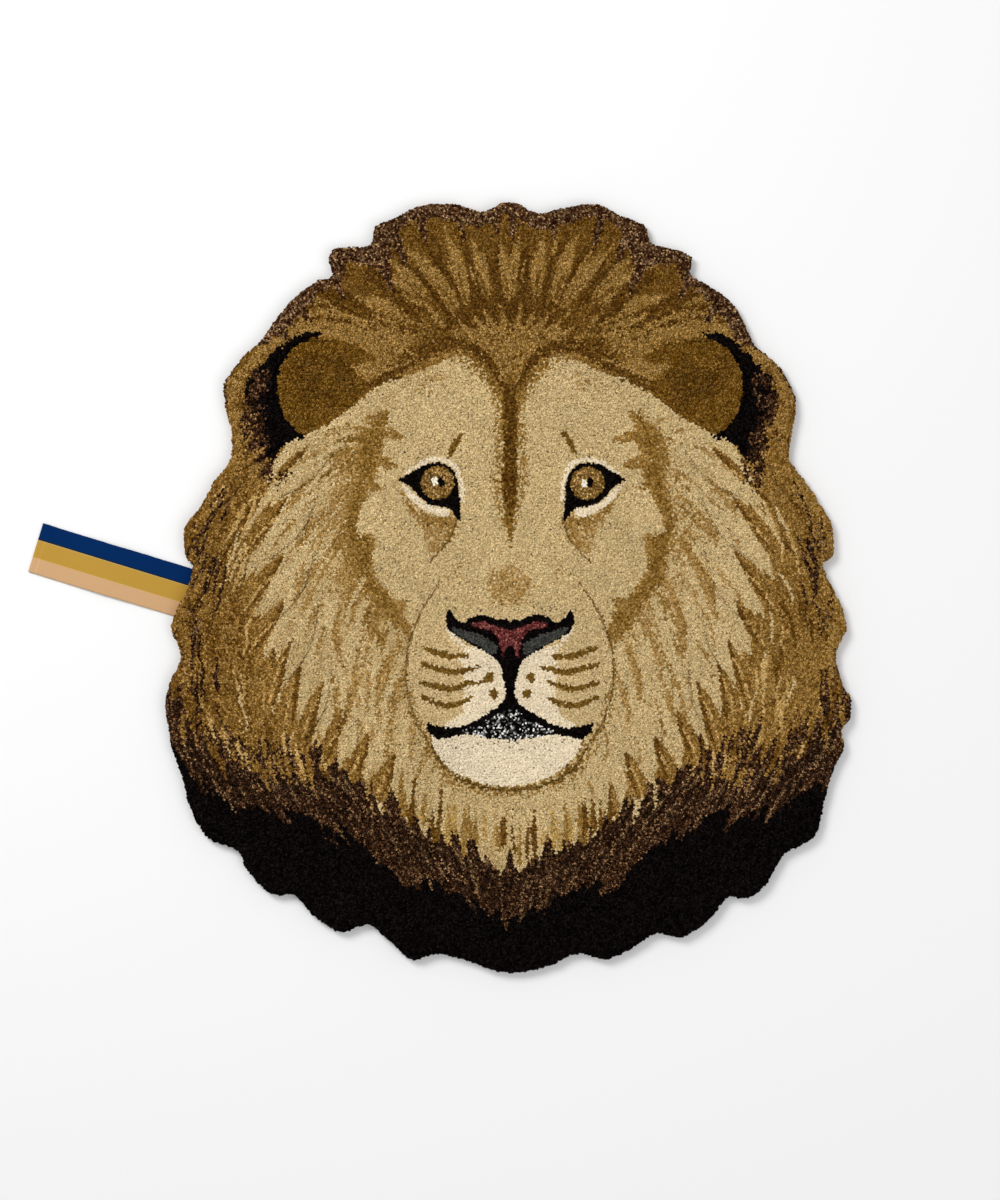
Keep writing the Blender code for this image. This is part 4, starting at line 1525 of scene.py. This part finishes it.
class Material:
    """A material being put together. Each call adds nodes and returns what they give out."""

    def __init__(self, name, roughness, specular, sheen=0.0):
        self.data = bpy.data.materials.new(name)
        self.data.use_nodes = True
        self.tree = self.data.node_tree
        self.shader = self.tree.nodes["Principled BSDF"].inputs
        self.shader["Roughness"].default_value = roughness
        self.shader["Specular IOR Level"].default_value = specular
        self.shader["Sheen Weight"].default_value = sheen
        self.shader["Sheen Roughness"].default_value = 0.6

    def feed(self, socket, value):
        if isinstance(value, bpy.types.NodeSocket):
            self.tree.links.new(value, socket)
        else:
            socket.default_value = value

    def put(self, kind, inputs, **settings):
        """A node whose inputs are values or what other nodes give out."""
        node = self.tree.nodes.new("ShaderNode" + kind)
        for name, value in settings.items():
            setattr(node, name, value)
        for name, value in inputs.items():
            self.feed(node.inputs[name], value)
        return node

    def maths(self, operation, *values):
        return self.put("Math", dict(enumerate(values)), operation=operation).outputs[0]

    def noise(self, vector, scale, detail):
        inputs = {"Vector": vector, "Scale": scale, "Detail": detail}
        return self.put("TexNoise", inputs).outputs["Fac"]

    def wave(self, vector, axis, pitch, distortion=0.0):
        scale = 2 * math.pi / (20 * pitch)
        inputs = {"Vector": vector, "Scale": scale, "Distortion": distortion}
        return self.put("TexWave", inputs, bands_direction=axis).outputs["Fac"]

    def woven(self, vector, warp, weft):
        """Height of a plain weave, its thread pitches in the vector's unit."""
        threads = (("X", weft), ("Y", warp))
        return self.maths("MULTIPLY", *(self.wave(vector, *thread, 0.4) for thread in threads))

    def spread(self, source, low, high, first=0.3, last=0.7):
        """What runs from first to last, spread from low to high."""
        ends = {"From Min": first, "From Max": last, "To Min": low, "To Max": high}
        return self.put("MapRange", {"Value": source, **ends}).outputs["Result"]

    def scaled(self, colour, factor):
        inputs = {0: colour, "Scale": factor}
        return self.put("VectorMath", inputs, operation="SCALE").outputs["Vector"]

    def ramp(self, share, stops, interpolation="LINEAR"):
        node = self.put("ValToRGB", {"Fac": share})
        node.color_ramp.interpolation = interpolation
        elements = node.color_ramp.elements
        for k, (at, colour) in enumerate(stops):
            stop = elements[k] if k < len(elements) else elements.new(at)
            stop.position = at
            stop.color = (*colour, 1)
        return node.outputs["Color"]

    def finish(self, colour, height, strength, distance):
        """Its colour, and its bump in metres."""
        bump = self.put("Bump", {"Height": height, "Strength": strength, "Distance": distance})
        self.feed(self.shader["Base Color"], colour)
        self.feed(self.shader["Normal"], bump.outputs["Normal"])
        return self.data


def wool_material():
    """Each tuft's own colour, broken up by its fibres and by the yarn's flecks."""
    m = Material("wool_pile", 0.98, 0.01)
    yarn = m.put("VertexColor", {}, layer_name="yarn").outputs
    place = m.put("TexCoord", {}).outputs["Object"]
    fibre = m.noise(place, FIBRES, 2)
    fleck = m.spread(m.noise(place, FLECKS, 1), -0.52, 1.7, 0.47, 0.66)
    amount = m.maths("MULTIPLY_ADD", fleck, yarn["Alpha"], 1)
    colour = m.scaled(yarn["Color"], m.maths("MAXIMUM", amount, 0.04))
    colour = m.scaled(colour, m.spread(fibre, 0.74, 1.26))
    return m.finish(colour, fibre, 0.5, 0.0003)


def canvas_material():
    """The cotton cloth under the rug."""
    m = Material("backing_canvas", 0.9, 0.2, 0.1)
    height = m.woven(m.put("TexCoord", {}).outputs["Object"], 1.5 * MM, 1.7 * MM)
    # painted shade: the cloth is darker where its weave lies low
    return m.finish(m.ramp(height, CANVAS), height, 0.7, 0.0005)


def ribbon_material():
    """Lengthwise bands in a fine ribbed weave, and the hem's stitches."""
    m = Material("ribbon_weave", 0.8, 0.05)
    place = m.put("Attribute", {}, attribute_name="weave").outputs["Vector"]
    along, across, _ = m.put("SeparateXYZ", {0: place}).outputs
    half = RIBBON_WIDTH / 2
    bands = [(start / RIBBON_WIDTH + 0.5, linear(colour)) for start, colour in BANDS]
    colour = m.ramp(m.spread(across, 0, 1, -half, half), bands, "CONSTANT")
    height = m.woven(place, 0.5, 0.7)
    colour = m.scaled(colour, m.spread(m.noise(place, 1.5, 3), 0.88, 1.10))
    # painted shade and light: darker in the weave's dips, lighter on its raised threads
    colour = m.scaled(colour, m.spread(height, 0.72, 1.12, 0, 1))
    hem_line = RIBBON_ROOT + RIBBON_OUT - STITCH_IN
    on_line = m.maths("COMPARE", along, hem_line, STITCH_HALF)
    stitch = m.maths("GREATER_THAN", m.wave(place, "Y", STITCH_PITCH), STITCH_FROM)
    on_stitch = m.maths("MULTIPLY", on_line, stitch)
    colour = m.scaled(colour, m.maths("MULTIPLY_ADD", on_stitch, THREAD_LIGHTER, 1))
    return m.finish(colour, height, 0.5, 0.0002)


# ---- studio

CAMERA_HEIGHT = 3.0  # metres
CAMERA_PLACE = (-0.010, -0.012)
VIEW_HEIGHT = 1.2  # how much of the pile the picture's taller side takes in
LIGHTS = (  # name, place, diameter in metres, watts
    ("key", (-1.5, 1.6, 2.4), 1.4, 62),
    ("fill", (1.9, -1.2, 2.6), 2.2, 22),
)
WORLD = 0.55


def add_studio():
    world = bpy.data.worlds.new("studio")
    world.use_nodes = True
    background = world.node_tree.nodes["Background"].inputs
    background["Color"].default_value = (1, 1, 1, 1)
    background["Strength"].default_value = WORLD
    bpy.context.scene.world = world
    for name, place, diameter, watts in LIGHTS:
        light = bpy.data.lights.new(name, "AREA")
        light.shape = "DISK"
        light.size = diameter
        light.energy = watts
        obj = bpy.data.objects.new(name, light)
        obj.location = place
        obj.rotation_euler = (-Vector(place)).to_track_quat("-Z", "Y").to_euler()
        bpy.context.scene.collection.objects.link(obj)
    material = Material("floor", 0.8, 0.2)
    material.feed(material.shader["Base Color"], (0.88, 0.88, 0.88, 1))
    bpy.ops.mesh.primitive_plane_add(size=8, location=(0, 0, -0.0003))
    floor = bpy.context.object
    floor.name = "floor"
    floor.data.materials.append(material.data)


def add_camera():
    """Straight above, as the photograph is: a pixel of its frame is a millimetre of pile."""
    camera = bpy.data.cameras.new("camera")
    camera.sensor_width = 36
    camera.lens = camera.sensor_width * (CAMERA_HEIGHT - PILE_TOP * MM) / VIEW_HEIGHT
    obj = bpy.data.objects.new("camera", camera)
    obj.location = (*CAMERA_PLACE, CAMERA_HEIGHT)
    bpy.context.scene.collection.objects.link(obj)
    bpy.context.scene.camera = obj
    bpy.context.scene.view_settings.view_transform = "Standard"


def main():
    ring = cad_outline()
    wool = wool_material()
    pile, tips, colours = add_pile(ring, wool)
    backing = add_backing(ring, tips, colours, wool, canvas_material())
    cut_ribbon_seat(backing)
    ribbon, ribbon_length = add_ribbon(ribbon_material())
    for piece in (*pile, backing):
        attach(piece, "root")
    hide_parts("rug")
    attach(ribbon, "root")
    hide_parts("ribbon")
    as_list(pile)
    add_studio()
    add_camera()


main()
bpy.context.view_layer.update()
